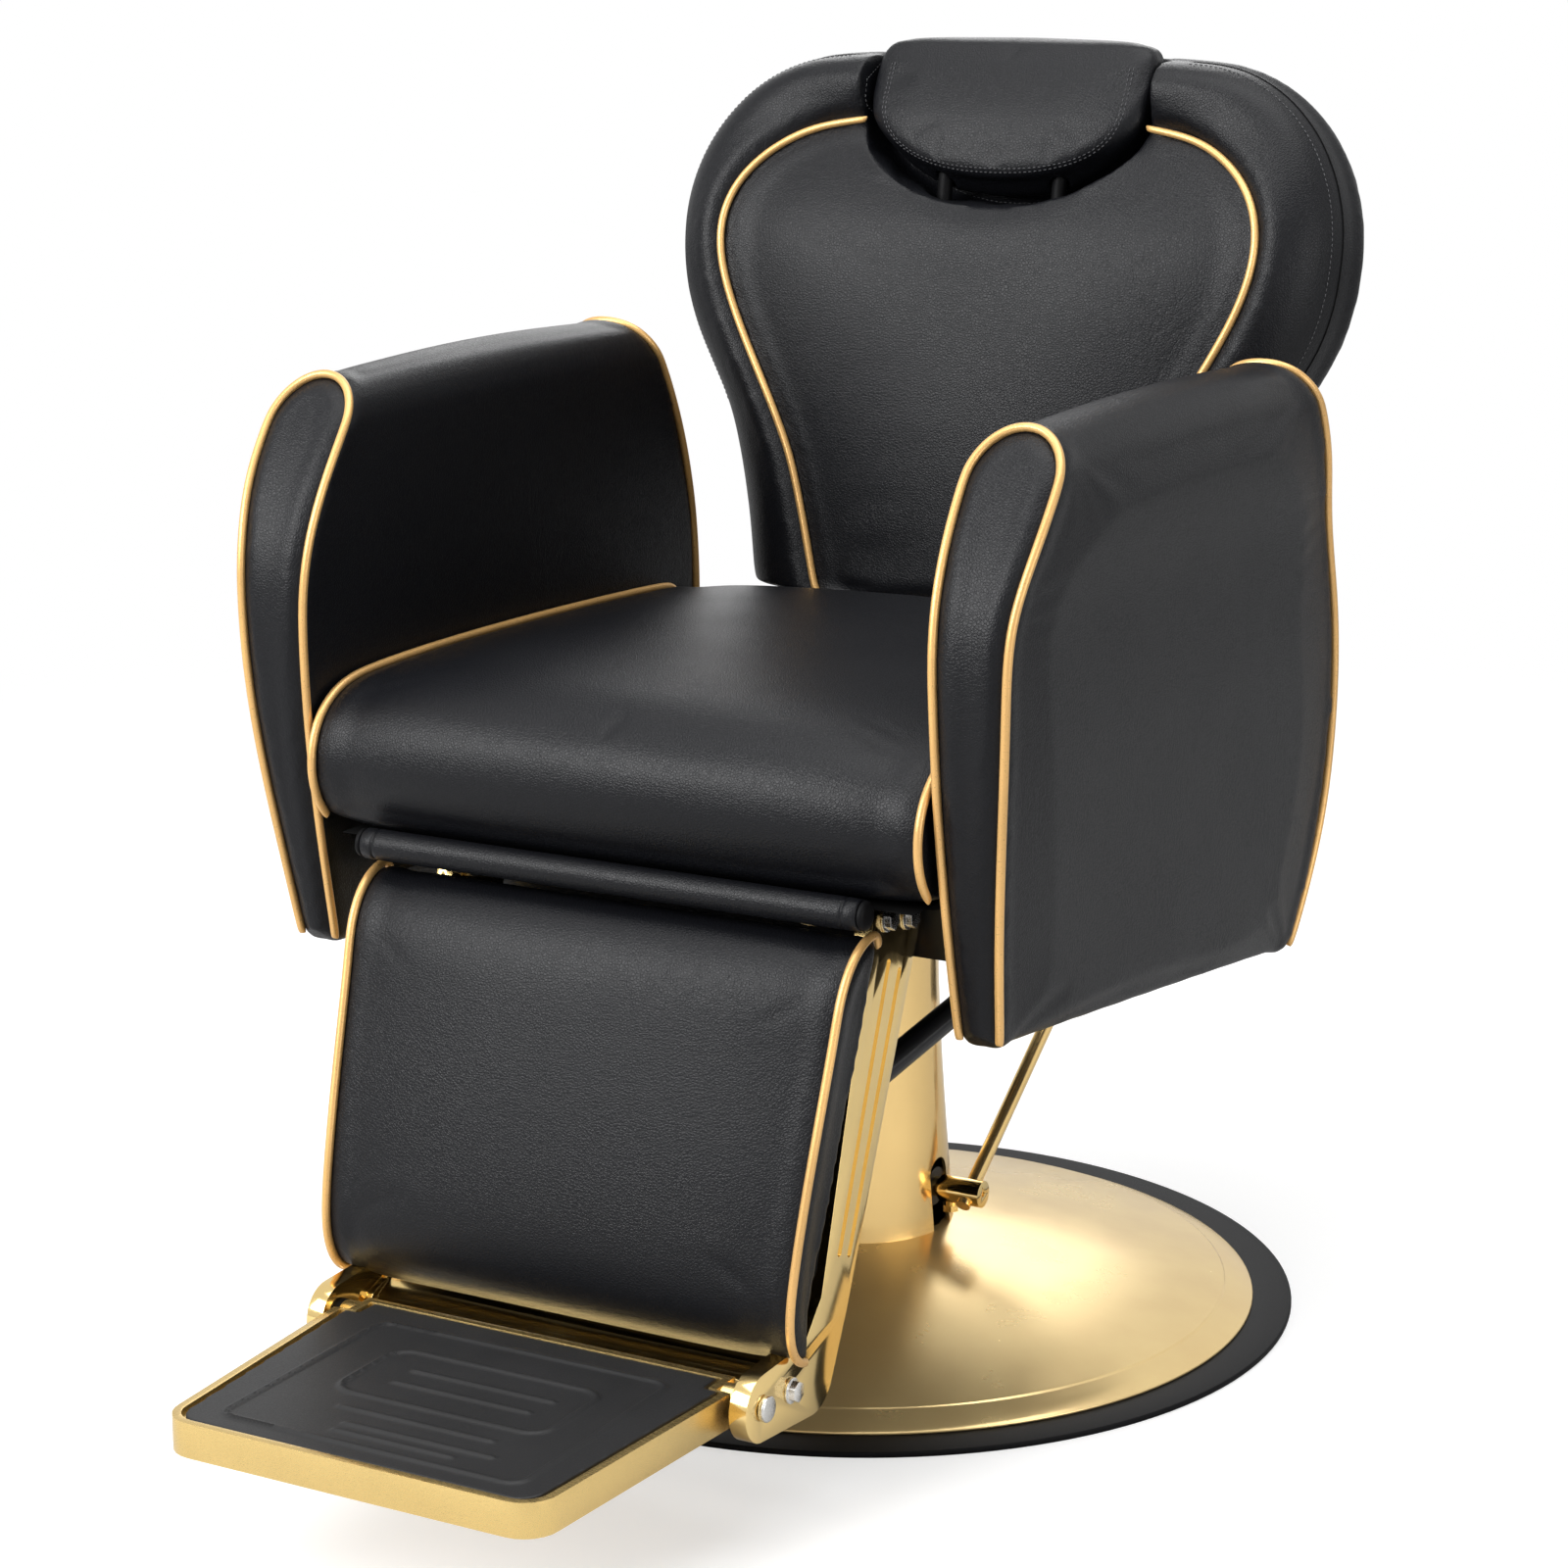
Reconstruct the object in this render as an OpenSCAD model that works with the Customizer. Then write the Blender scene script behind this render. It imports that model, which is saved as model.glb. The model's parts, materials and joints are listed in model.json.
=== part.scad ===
// Hydraulic barber chair: round floor base, pump column, upholstered seat between two
// padded side arms, reclining backrest with a sliding headrest, and a footrest that
// swings out together with the backrest through two link tubes.
// The chair faces -Y, +Z is up, and the swivel axis is the Z axis.

/* [Base] */
// Outer radius of the rubber floor pad
ring_r = 340; // [300:1:380]
// Thickness of the rubber floor pad
ring_t = 4.5; // [3:0.5:10]
// Outer radius of the dished base cover
dish_r = 310; // [270:1:330]
// Height of the dish where it meets the column
dish_h = 61; // [45:1:80]
// Sheet thickness of the dish
dish_t = 3; // [2:0.5:5]

/* [Column] */
// Radius of the column cover at its foot
cover_foot_r = 75; // [65:1:90]
// Radius of the column cover at its top
cover_top_r = 61; // [52:1:70]
// Height of the top of the column cover
cover_top_z = 289; // [240:1:340]
// Wall of the column cover
cover_t = 2.5; // [1.5:0.5:4]
// Radius of the lifting ram
ram_r = 24; // [20:0.5:30]
// Lift travel of the ram
lift_travel = 150; // [100:5:180]

/* [Pump lever] */
// Height of the lever axle
lever_z = 93; // [85:1:110]
// Radius of the lever axle
lever_shaft_r = 8; // [6:0.5:9]
// Distance of the lever rod from the swivel axis
lever_x = 97; // [92:1:104]
// Radius of the lever rod
lever_rod_r = 5.75; // [4:0.25:7]
// Length of the lever rod from its axle
lever_len = 236; // [180:1:250]
// Rise of the lever rod at rest, in degrees
lever_rise = 36; // [25:1:40]

/* [Seat] */
// Half the width of the seat cushion
seat_half_w = 242; // [220:1:260]
// Height of the underside of the seat cushion
seat_under_z = 420; // [400:1:440]
// Height of the seat cushion along its side seams
seat_top_z = 529; // [500:1:550]
// Depth of the cushion front, ahead of the swivel axis
seat_front_y = 377; // [350:1:400]
// Depth of the cushion rear, behind the swivel axis
seat_rear_y = 136; // [120:1:145]
// Rise of the cushion crown at its middle
seat_crown = 13; // [0:1:25]

/* [Arms] */
// Gap between the seat cushion and the arm's inner face
arm_gap = 7; // [5:0.5:14]
// Thickness of the arm at its foot
arm_foot_t = 33; // [26:1:44]
// Radius of the rolled arm top
arm_roll_r = 35; // [28:1:42]
// Height of the centre of the rolled arm top
arm_roll_z = 703; // [660:1:730]
// Length of the arm forward of the swivel axis at its widest height
arm_front_y = 368; // [340:1:390]
// Length of the arm behind the swivel axis at its widest height
arm_rear_y = 176; // [150:1:190]
// Height of the arm's lower edge at its front
arm_foot_z = 325; // [310:1:345]
// Fall of the arm's lower edge towards its rear
arm_foot_fall = 44; // [0:1:60]

/* [Backrest] */
// Recline of the backrest at rest, in degrees
back_tilt = 9.04; // [5:0.1:15]
// Height of the reference point in the piping plane
back_ref_z = 800; // [780:1:820]
// Depth of the reference point in the piping plane
back_ref_y = 192.4; // [185:0.5:200]
// Half the width across the shoulders
back_half_w = 295; // [280:1:310]
// Thickness of the back cushion
back_t = 80; // [74:1:90]
// Largest recline of the backrest, in degrees
recline_max = 45; // [30:1:45]

/* [Headrest] */
// Half the width of the headrest
head_half_w = 114; // [95:1:120]
// Gap between the headrest and its recess
head_gap = 8; // [7:1:15]
// Radius of the headrest posts
post_r = 6; // [5:0.5:8]
// Half the distance between the headrest posts
post_x = 50; // [40:1:60]
// Slide travel of the headrest
head_travel = 85; // [60:5:95]

/* [Footrest] */
// Half the width of the calf pad at its top
calf_top_w = 198; // [185:1:205]
// Half the width of the calf pad at its bottom
calf_foot_w = 186; // [180:1:200]
// Distance of the inner face of a footrest arm from the middle
leg_x = 163; // [155:1:168]
// Thickness of a footrest arm
leg_t = 13; // [8:0.5:16]
// Radius of the upholstered front bar
roller_r = 12; // [11:0.5:14]
// Half the length of the upholstered front bar
roller_half = 203; // [190:1:210]
// Radius of the hinge shaft inside the front bar
pivot_r = 7; // [5:0.5:8]
// Half the width of the footplate at its front
plate_front_w = 146; // [130:1:150]
// Half the width of the footplate at its rear
plate_rear_w = 159; // [150:1:161]
// Length of the footplate ahead of its hinge
plate_len = 227; // [180:1:250]
// Height of the footplate rim
plate_h = 24; // [18:1:30]

/* [Piping] */
// Radius of the piping cord
piping_r = 3.1; // [2:0.1:4]

/* [Hidden] */

// Clearances: a running fit between round parts, a seat between parts of one body,
// and free air between bodies that pass each other.
run_fit = 0.05;
seat_fit = 0.02;
air = 0.3;

// Colours of the finishes.
gold = [0.85, 0.66, 0.28];
steel = [0.72, 0.72, 0.74];
black_steel = [0.12, 0.12, 0.13];
rubber = [0.17, 0.17, 0.17];
leather = [0.13, 0.13, 0.12];
piping_gold = [0.82, 0.6, 0.27];
plywood = [0.72, 0.56, 0.38];

// Facets of round parts.
fine_fn = 96;
small_fn = 40;

// Place in [y, z] of a point of the backrest, given as [depth, height] in its own frame.
function back_place(p) = [back_ref_y + p[0] * cos(back_tilt) + p[1] * sin(back_tilt),
    back_ref_z - p[0] * sin(back_tilt) + p[1] * cos(back_tilt)];

// Hinge axes, each as [y, z]: footrest, backrest, link to footrest, link to backrest.
pivot_yz = [-370, 418];
back_hinge = [37.03, -312.55];
back_yz = back_place(back_hinge);
link_run = back_yz - pivot_yz;
link_front_yz = [-322, 262];
link_rear_yz = link_front_yz + link_run;
plate_yz = [-464, 102];

// The link lies along the line between the two fixed hinges.
link_len = norm(link_run);
link_slope = atan2(link_run[1], link_run[0]);

// ---- Points, curves and lofted forms ----

function mix(a, b, t) = a + (b - a) * t;
function clamp(v) = min(1, max(0, v));
function unit(v) = v / norm(v);

// Points of a cubic curve through p[0] and p[3], without its end point.
function curve(p, n) = [for (i = [0:n - 1]) let (t = i / n, s = 1 - t)
    s * s * s * p[0] + 3 * s * s * t * p[1] + 3 * s * t * t * p[2] + t * t * t * p[3]];

function line(a, b, n) = [for (i = [0:n - 1]) mix(a, b, i / n)];

// Outward normal of a closed ring of 2D points at point i.
function ring_normal(ring, i) = let (
    n = len(ring),
    d = ring[(i + 1) % n] - ring[(i + n - 1) % n]) unit([d[1], -d[0]]);

// The ring moved outward by a distance; a negative distance moves it inward.
function grow(ring, by) = [for (i = [0:len(ring) - 1]) ring[i] + by * ring_normal(ring, i)];

// Closed body through rings of equal point count. Both end rings are closed by stitching
// each point to the one that mirrors it in the ring's order.
module loft(rings) {
    n = len(rings[0]);
    last = (len(rings) - 1) * n;
    sides = [for (j = [0:len(rings) - 2]) for (i = [0:n - 1])
        let (a = j * n + i, b = j * n + (i + 1) % n) each [[a, b, b + n], [a, b + n, a + n]]];
    first_cap = [for (i = [0:n / 2 - 2])
        each [[i, n - 1 - i, i + 1], [i + 1, n - 1 - i, n - 2 - i]]];
    last_cap = [for (f = first_cap) [f[0] + last, f[2] + last, f[1] + last]];
    polyhedron(points = [for (r = rings) each r], faces = concat(sides, first_cap, last_cap));
}

// Round cord along a path; side is a direction the path never runs along.
module cord(path, r, side) {
    sides = 6;
    m = len(path) - 1;
    loft([for (i = [0:m]) let (
        along = unit(path[min(i + 1, m)] - path[max(i - 1, 0)]),
        across = unit(cross(along, side)),
        up = cross(across, along))
        [for (k = [0:sides - 1]) path[i] + r * (cos(360 * k / sides) * across
            + sin(360 * k / sides) * up)]]);
}

// Cylinder along X between two places.
module x_cyl(x0, x1, yz, r) {
    translate([x0, yz[0], yz[1]]) rotate([0, 90, 0]) cylinder(r = r, h = x1 - x0, $fn = small_fn);
}

// Hexagon screw head along X, standing on x0 and h thick; a negative h points to -X.
module x_hex(x0, h, yz, r) {
    translate([min(x0, x0 + h), yz[0], yz[1]]) rotate([0, 90, 0])
        cylinder(r = r, h = abs(h), $fn = 6);
}

// Flat plate along X between two places, drawn as a shape in [y, z].
module x_plate(x0, x1) {
    translate([x0, 0, 0]) rotate([90, 0, 90]) linear_extrude(x1 - x0) children();
}

// Flat shape that spans two circles, each [centre, radius].
module span(a, b) {
    hull() {
        translate(a[0]) circle(a[1], $fn = 32);
        translate(b[0]) circle(b[1], $fn = 32);
    }
}

module both_sides() {
    children();
    mirror([1, 0, 0]) children();
}

// ---- Base ----

floor_plate_r = dish_r - 18;
floor_plate_t = 6;
floor_plate_top_z = ring_t + floor_plate_t;
boss_r = cover_foot_r + 17;
boss_top_z = floor_plate_top_z + 11.5;
flange_r = cover_foot_r + 9;
flange_t = 12;
pump_bolt_r = 5;
pump_bolt_circle = flange_r - 12;

// Flat rubber pad under the whole base, with a rounded outer edge.
module floor_pad() {
    color(rubber) rotate_extrude($fn = fine_fn)
        polygon(concat([[0, 0], [ring_r - 1, 0]],
            curve([[ring_r, 1], [ring_r, ring_t - 1], [ring_r - 0.4, ring_t],
                [ring_r - 4, ring_t]], 5),
            [[ring_r - 4, ring_t], [0, ring_t]]));
}

// Cast plate with a thick middle boss and radial ribs, hidden by the dish.
module base_plate() {
    rib_r = floor_plate_r - 40;
    color(black_steel) difference() {
        union() {
            translate([0, 0, ring_t])
                cylinder(r = floor_plate_r, h = floor_plate_t, $fn = fine_fn);
            translate([0, 0, ring_t]) cylinder(r = boss_r, h = boss_top_z - ring_t, $fn = fine_fn);
            for (k = [0:7])
                rotate([0, 0, 45 * k]) rotate([90, 0, 0]) translate([0, 0, -4])
                    linear_extrude(8) polygon([[boss_r - 5, floor_plate_top_z - 2],
                        [rib_r, floor_plate_top_z - 2], [rib_r, floor_plate_top_z + 2],
                        [boss_r - 5, boss_top_z]]);
        }
        for (k = [0:3])
            rotate([0, 0, 45 + 90 * k]) translate([pump_bolt_circle, 0, -1])
                cylinder(r = pump_bolt_r + run_fit, h = boss_top_z + 2, $fn = small_fn);
    }
}

// Pressed dish: a low rim, a bevel and a shallow cone up to the column cover.
module base_dish() {
    hole_r = cover_foot_r - 7;
    rim_z = ring_t + seat_fit;
    color(gold) rotate_extrude($fn = fine_fn)
        polygon([[dish_r, rim_z], [dish_r, rim_z + 2], [dish_r - 3, rim_z + 3.7],
            [dish_r - 15, rim_z + 9], [dish_r - 22, rim_z + 10.8], [cover_foot_r + 1, dish_h],
            [hole_r, dish_h], [hole_r, dish_h - dish_t],
            [cover_foot_r, dish_h - dish_t], [dish_r - 18, floor_plate_top_z + 0.6],
            [dish_r - 7, rim_z + 2], [dish_r - 7, rim_z]]);
}

pump_foot_z = boss_top_z + seat_fit;
tank_r = cover_top_r - cover_t - 2.5;
pump_top_z = cover_top_z - cover_t - air;
ram_foot_z = 60;
lever_boss_x = 68;

// Oil pump: bolted flange, tank with the ram's bore, and the lever axle's boss.
module pump_body() {
    color(black_steel) difference() {
        union() {
            translate([0, 0, pump_foot_z]) cylinder(r = flange_r, h = flange_t, $fn = fine_fn);
            translate([0, 0, pump_foot_z])
                cylinder(r = tank_r, h = pump_top_z - pump_foot_z, $fn = fine_fn);
            x_cyl(0, lever_boss_x, [0, lever_z], lever_shaft_r + 7);
        }
        translate([0, 0, ram_foot_z - 6]) cylinder(r = ram_r + run_fit, h = cover_top_z, $fn = fine_fn);
        x_cyl(ram_r + 6, lever_boss_x + 1, [0, lever_z], lever_shaft_r + run_fit);
        for (k = [0:3])
            rotate([0, 0, 45 + 90 * k]) translate([pump_bolt_circle, 0, 0])
                cylinder(r = pump_bolt_r + run_fit, h = pump_foot_z + flange_t + 1, $fn = small_fn);
    }
}

// Four hexagon bolts that hold the pump to the base plate.
module pump_bolts() {
    head_z = pump_foot_z + flange_t + seat_fit;
    color(steel) for (k = [0:3])
        rotate([0, 0, 45 + 90 * k]) translate([pump_bolt_circle, 0, 0]) {
            translate([0, 0, ring_t + 2]) cylinder(r = pump_bolt_r, h = head_z - ring_t - 1, $fn = small_fn);
            translate([0, 0, head_z]) cylinder(r = 9, h = 7, $fn = 6);
        }
}

cover_hole_r = ram_r + 6;

// Tapered column cover with a rounded shoulder and a slot for the lever axle.
module pump_cover() {
    foot_z = dish_h + seat_fit;
    edge_r = 5;
    slot_w = 2 * lever_shaft_r + 11;
    outside = concat([[cover_foot_r, foot_z]],
        curve([[cover_foot_r - 1, foot_z + 12], [cover_foot_r - 4, foot_z + 45],
            [cover_top_r + 1.5, cover_top_z - 90], [cover_top_r, cover_top_z - edge_r]], 8),
        [for (a = [0:15:90]) [cover_top_r - edge_r + edge_r * cos(a),
            cover_top_z - edge_r + edge_r * sin(a)]]);
    inside = [for (i = [len(outside) - 1:-1:0])
        [outside[i][0] - cover_t, min(outside[i][1], cover_top_z - cover_t)]];
    color(gold) difference() {
        rotate_extrude($fn = fine_fn)
            polygon(concat(outside, [[cover_hole_r, cover_top_z],
                [cover_hole_r, cover_top_z - cover_t]], inside));
        translate([cover_top_r - 10, -slot_w / 2, foot_z - 1])
            cube([cover_foot_r, slot_w, lever_z - foot_z + 11]);
        x_cyl(cover_top_r - 10, cover_foot_r + 10, [0, lever_z + 10], slot_w / 2);
    }
}

gland_top_z = cover_top_z + 6;

// Wiper ring around the ram, let into the top of the cover.
module pump_gland() {
    color(black_steel) rotate_extrude($fn = fine_fn)
        polygon([[ram_r + run_fit, pump_top_z + seat_fit], [cover_hole_r - 0.1, pump_top_z + seat_fit],
            [cover_hole_r - 0.1, cover_top_z + seat_fit], [ram_r + 10, cover_top_z + seat_fit],
            [ram_r + 10, gland_top_z - 2], [ram_r + 8, gland_top_z], [ram_r + run_fit, gland_top_z]]);
}

// ---- Pump lever ----

hub_x0 = 74;
hub_x1 = lever_x + 12;
hub_r = lever_shaft_r + 2.5;
hub_socket_x = 88;
screw_x = 81;

module lever_shaft() {
    color(gold) x_cyl(ram_r + 8, hub_socket_x, [0, lever_z], lever_shaft_r);
}

// Barrel that carries the rod, with a centre mark in its end face.
module lever_hub() {
    color(gold) difference() {
        union() {
            x_cyl(hub_x0, hub_x1, [0, lever_z], hub_r);
            translate([screw_x, 0, lever_z - hub_r - 2]) cylinder(r = 6, h = 6, $fn = small_fn);
        }
        x_cyl(hub_x0 - 1, hub_socket_x, [0, lever_z], lever_shaft_r + seat_fit);
        x_cyl(hub_x1 - 3, hub_x1 + 1, [0, lever_z], 2.2);
        lever_along() translate([0, 0, -20]) cylinder(r = lever_rod_r + seat_fit, h = 40, $fn = small_fn);
        translate([screw_x, 0, lever_z - hub_r - 3]) cylinder(r = 3 + seat_fit, h = 6, $fn = small_fn);
    }
}

// Places its children on the rod: their Z runs from the axle to the pedal.
module lever_along() {
    translate([lever_x, 0, lever_z]) rotate([lever_rise - 90, 0, 0]) children();
}

module lever_screw() {
    head_top_z = lever_z - hub_r - 2 - seat_fit;
    color(gold) translate([screw_x, 0, 0]) {
        translate([0, 0, head_top_z - 5]) cylinder(r = 6.5, h = 5, $fn = 6);
        translate([0, 0, head_top_z]) cylinder(r = 3, h = 4, $fn = small_fn);
    }
}

module lever_rod() {
    color(gold) lever_along() translate([0, 0, -hub_r - 3])
        cylinder(r = lever_rod_r, h = lever_len + hub_r + 3, $fn = small_fn);
}

pedal_w = 44;
pedal_len = 58;
pedal_t = 4;
pedal_foot = lever_len - pedal_len;

// Steel tread welded on the upper side of the rod's end.
module foot_pedal() {
    color(steel) lever_along() difference() {
        translate([-pedal_w / 2, lever_rod_r + seat_fit - pedal_t - 2 * lever_rod_r, pedal_foot])
            cube([pedal_w, pedal_t, pedal_len]);
        for (side = [-1, 1])
            translate([side * 14, -4 * lever_rod_r, pedal_foot + pedal_len / 2]) rotate([-90, 0, 0])
                cylinder(r = 3 + seat_fit, h = 4 * lever_rod_r, $fn = small_fn);
    }
}

// Ribbed rubber tread with two studs that lock into the steel tread.
module pedal_rubber() {
    rest_y = -lever_rod_r - pedal_t;
    pad_t = 6;
    color(rubber) lever_along() {
        translate([-pedal_w / 2 - 2, rest_y - pad_t, pedal_foot - 2])
            cube([pedal_w + 4, pad_t, pedal_len + 4]);
        for (k = [0:5])
            translate([-pedal_w / 2, rest_y - pad_t - 1.5, pedal_foot + 3 + 10 * k])
                cube([pedal_w, 1.6, 4]);
        for (side = [-1, 1])
            translate([side * 14, rest_y - 1, pedal_foot + pedal_len / 2]) rotate([-90, 0, 0])
                cylinder(r = 3, h = pedal_t + 1, $fn = small_fn);
    }
}

// ---- Ram and seat mount ----

mount_z = 345;
mount_t = 8;
mount_half = 75;
mount_bolt_x = 60;
washer_t = 2;

// Polished ram, chamfered at its top.
module ram() {
    color(steel) rotate_extrude($fn = fine_fn)
        polygon([[0, ram_foot_z], [ram_r, ram_foot_z], [ram_r, mount_z - washer_t - air - 2],
            [ram_r - 2, mount_z - washer_t - air], [0, mount_z - washer_t - air]]);
}

// Washer between the ram and the swivelling mount.
module thrust_washer() {
    color(gold) translate([0, 0, mount_z - washer_t - air + seat_fit]) difference() {
        cylinder(r = ram_r - 3, h = washer_t, $fn = fine_fn);
        translate([0, 0, -1]) cylinder(r = 8, h = washer_t + 2, $fn = small_fn);
    }
}

// Hub that turns on the ram, with four gussets under a square plate.
module seat_mount() {
    hub_foot_z = gland_top_z + 7;
    hub_wall_r = ram_r + 10;
    color(black_steel) difference() {
        union() {
            translate([0, 0, hub_foot_z])
                cylinder(r = hub_wall_r, h = mount_z - hub_foot_z + 1, $fn = fine_fn);
            translate([0, 0, mount_z]) linear_extrude(mount_t) rounded_rect(mount_half, mount_half, 12);
            for (k = [0:3])
                rotate([0, 0, 90 * k]) rotate([90, 0, 0]) translate([0, 0, -3]) linear_extrude(6)
                    polygon([[hub_wall_r - 3, hub_foot_z + 12], [mount_half - 8, mount_z],
                        [mount_half - 8, mount_z + 1], [hub_wall_r - 3, mount_z + 1]]);
        }
        translate([0, 0, hub_foot_z - 1])
            cylinder(r = ram_r + run_fit, h = mount_z - hub_foot_z + 1, $fn = fine_fn);
        at_mount_bolts() translate([0, 0, mount_z - 1])
            cylinder(r = pump_bolt_r + run_fit, h = mount_t + 2, $fn = small_fn);
    }
}

module at_mount_bolts() {
    for (x = [-mount_bolt_x, mount_bolt_x])
        for (y = [-mount_bolt_x, mount_bolt_x])
            translate([x, y, 0]) children();
}

// Flat rectangle with round corners, centred on the origin.
module rounded_rect(half_w, half_d, r) {
    corners = [[half_w - r, half_d - r, 0], [r - half_w, half_d - r, 90],
        [r - half_w, r - half_d, 180], [half_w - r, r - half_d, 270]];
    polygon([for (c = corners) for (a = [0:15:90])
        [c[0] + r * cos(a + c[2]), c[1] + r * sin(a + c[2])]]);
}

module mount_bolts() {
    color(steel) at_mount_bolts() {
        translate([0, 0, mount_z - seat_fit - 7]) cylinder(r = 9, h = 7, $fn = 6);
        translate([0, 0, mount_z - seat_fit - 1]) cylinder(r = pump_bolt_r, h = 24, $fn = small_fn);
    }
}

// ---- Seat frame ----

rail_x = seat_half_w - 14;
rail_t = 12;
rail_z = 374;
rail_h = 34;
rail_front_y = -300;
rail_rear_y = 150;
bar_w = 30;
bar_h = 30;
upright_t = 8;
ear_x = 140;
ear_t = 6;
ear_r = pivot_r + 2.5;
ear_bend_yz = [-338, 403];
front_bar_y = -236;
// Lower edge of the deep front bar, which closes the view under the seat.
apron_z = rail_z - 22;
back_pin_r = 8;
arm_bolt_y = [-205, -155, 15, 65];
arm_bolt_z = rail_z + rail_h / 2;
arm_bolt_r = 4;

// Welded frame: side rails on two cross bars, a front bar with the fixed hinge ears, and
// two rear uprights that carry the backrest's pins.
module seat_frame() {
    bar_z = mount_z + mount_t + seat_fit;
    color(black_steel) difference() {
        union() {
            both_sides() {
                translate([rail_x, rail_front_y, rail_z]) cube([rail_t, rail_rear_y - rail_front_y, rail_h]);
                x_plate(rail_x, rail_x + upright_t) span([back_yz, 16],
                    [[rail_rear_y - 14, rail_z + 15], 14]);
                x_plate(ear_x, ear_x + ear_t) {
                    span([pivot_yz, ear_r], [ear_bend_yz, 7]);
                    span([ear_bend_yz, 7], [[front_bar_y + 10, rail_z + 17], 9]);
                }
            }
            for (y = [-mount_bolt_x, mount_bolt_x])
                translate([-rail_x, y - bar_w / 2, bar_z]) cube([2 * rail_x, bar_w, bar_h]);
            translate([-rail_x, front_bar_y, apron_z])
                cube([2 * rail_x, 20, rail_z + rail_h - 6 - apron_z]);
        }
        at_mount_bolts() translate([0, 0, bar_z - 1])
            cylinder(r = pump_bolt_r + run_fit, h = 20, $fn = small_fn);
        for (y = arm_bolt_y)
            x_cyl(-rail_x - rail_t - 1, -rail_x + 1, [y, arm_bolt_z], arm_bolt_r + seat_fit);
        for (y = arm_bolt_y)
            x_cyl(rail_x - 1, rail_x + rail_t + 1, [y, arm_bolt_z], arm_bolt_r + seat_fit);
        x_cyl(-rail_x - rail_t, rail_x + rail_t, back_yz, back_pin_r + seat_fit);
        x_cyl(-rail_x, rail_x, pivot_yz, pivot_r + seat_fit);
    }
}

// Plywood board under the cushion.
module seat_board() {
    board_z = rail_z + rail_h + seat_fit;
    front_y = -306;
    rear_y = 112;
    color(plywood) translate([0, (front_y + rear_y) / 2, board_z])
        linear_extrude(seat_under_z - board_z - seat_fit)
            rounded_rect(seat_half_w - 16, (rear_y - front_y) / 2, 20);
}

// ---- Seat cushion ----

side_steps = 6;
end_draw = 6;

// Share of the half width, from 1 down to -1, closer together towards the sides.
function across_share(j) = sin(90 * j / side_steps);

// Side outline of the seat in [y, z], anticlockwise.
seat_outline = concat(
    line([31 - seat_front_y, seat_under_z], [seat_rear_y - 28, seat_under_z], 9),
    curve([[seat_rear_y - 28, seat_under_z], [seat_rear_y - 24, seat_under_z],
        [seat_rear_y - 20, seat_under_z + 1], [seat_rear_y - 19, seat_under_z + 7]], 2),
    curve([[seat_rear_y - 19, seat_under_z + 7], [seat_rear_y - 15, seat_under_z + 30],
        [seat_rear_y, seat_top_z - 49], [seat_rear_y, seat_top_z - 29]], 4),
    curve([[seat_rear_y, seat_top_z - 29], [seat_rear_y, seat_top_z - 13],
        [seat_rear_y - 8, seat_top_z - 7], [seat_rear_y - 24, seat_top_z - 6]], 3),
    curve([[seat_rear_y - 24, seat_top_z - 6], [-100, seat_top_z + 4],
        [117 - seat_front_y, seat_top_z + 4], [59 - seat_front_y, seat_top_z - 1]], 8),
    curve([[59 - seat_front_y, seat_top_z - 1], [-15 - seat_front_y, seat_top_z - 9],
        [-15 - seat_front_y, seat_under_z + 20], [31 - seat_front_y, seat_under_z]], 10));

// Cushion with a crowned top, a full front nose and drawn-in sides.
module seat_cushion() {
    rings = [for (j = [side_steps:-1:-side_steps]) let (
        share = across_share(j),
        swell = 1 - pow(share, 4),
        ring = grow(seat_outline, -end_draw * pow(share, 12)))
        [for (p = ring) [seat_half_w * share,
            p[0] - 8 * swell * clamp((47 - seat_front_y - p[0]) / 30)
                * clamp((p[1] - seat_under_z - 10) / 40),
            p[1] + seat_crown * swell * clamp((p[1] - seat_top_z + 60) / 50)]]];
    color(leather) loft(rings);
}

// Cords along both side seams, from the rear edge over the nose to the underside.
module seat_piping() {
    seam = grow(seat_outline, -2.3);
    color(piping_gold) for (side = [-1, 1])
        cord([for (i = [16:35]) [side * (seat_half_w - 1.4), seam[i][0], seam[i][1]]],
            piping_r, [1, 0, 0]);
}

// ---- Arms ----

arm_in_x = seat_half_w + arm_gap + 2;
arm_out_x = arm_in_x + arm_foot_t;
arm_roll_x = arm_in_x + arm_roll_r - 9;
arm_waist_z = arm_roll_z - 113;
foot_flare = 28;
waist_flare = 10;
// Front and rear faces: [inset from the edge, bulge past the edge], from the middle outward.
panel_steps = [[13, 9], [8, 5], [5.5, -1], [0, -1]];

// Place of the arm's front edge at a height: it leans forward to the waist, then rolls back.
function arm_front(z) = z < arm_waist_z
    ? 37 * (1 - sin(90 * clamp((z - arm_foot_z) / (arm_waist_z - arm_foot_z)))) - arm_front_y
    : 78 * (1 - cos(90 * (z - arm_waist_z) / 147)) - arm_front_y;

// Place of the arm's rear edge at a height: a shallow bow.
function arm_rear(z) = let (rise = z - arm_roll_z + 203)
    arm_rear_y - (rise > 0 ? 0.00154 : 0.00114) * rise * rise;

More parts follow.
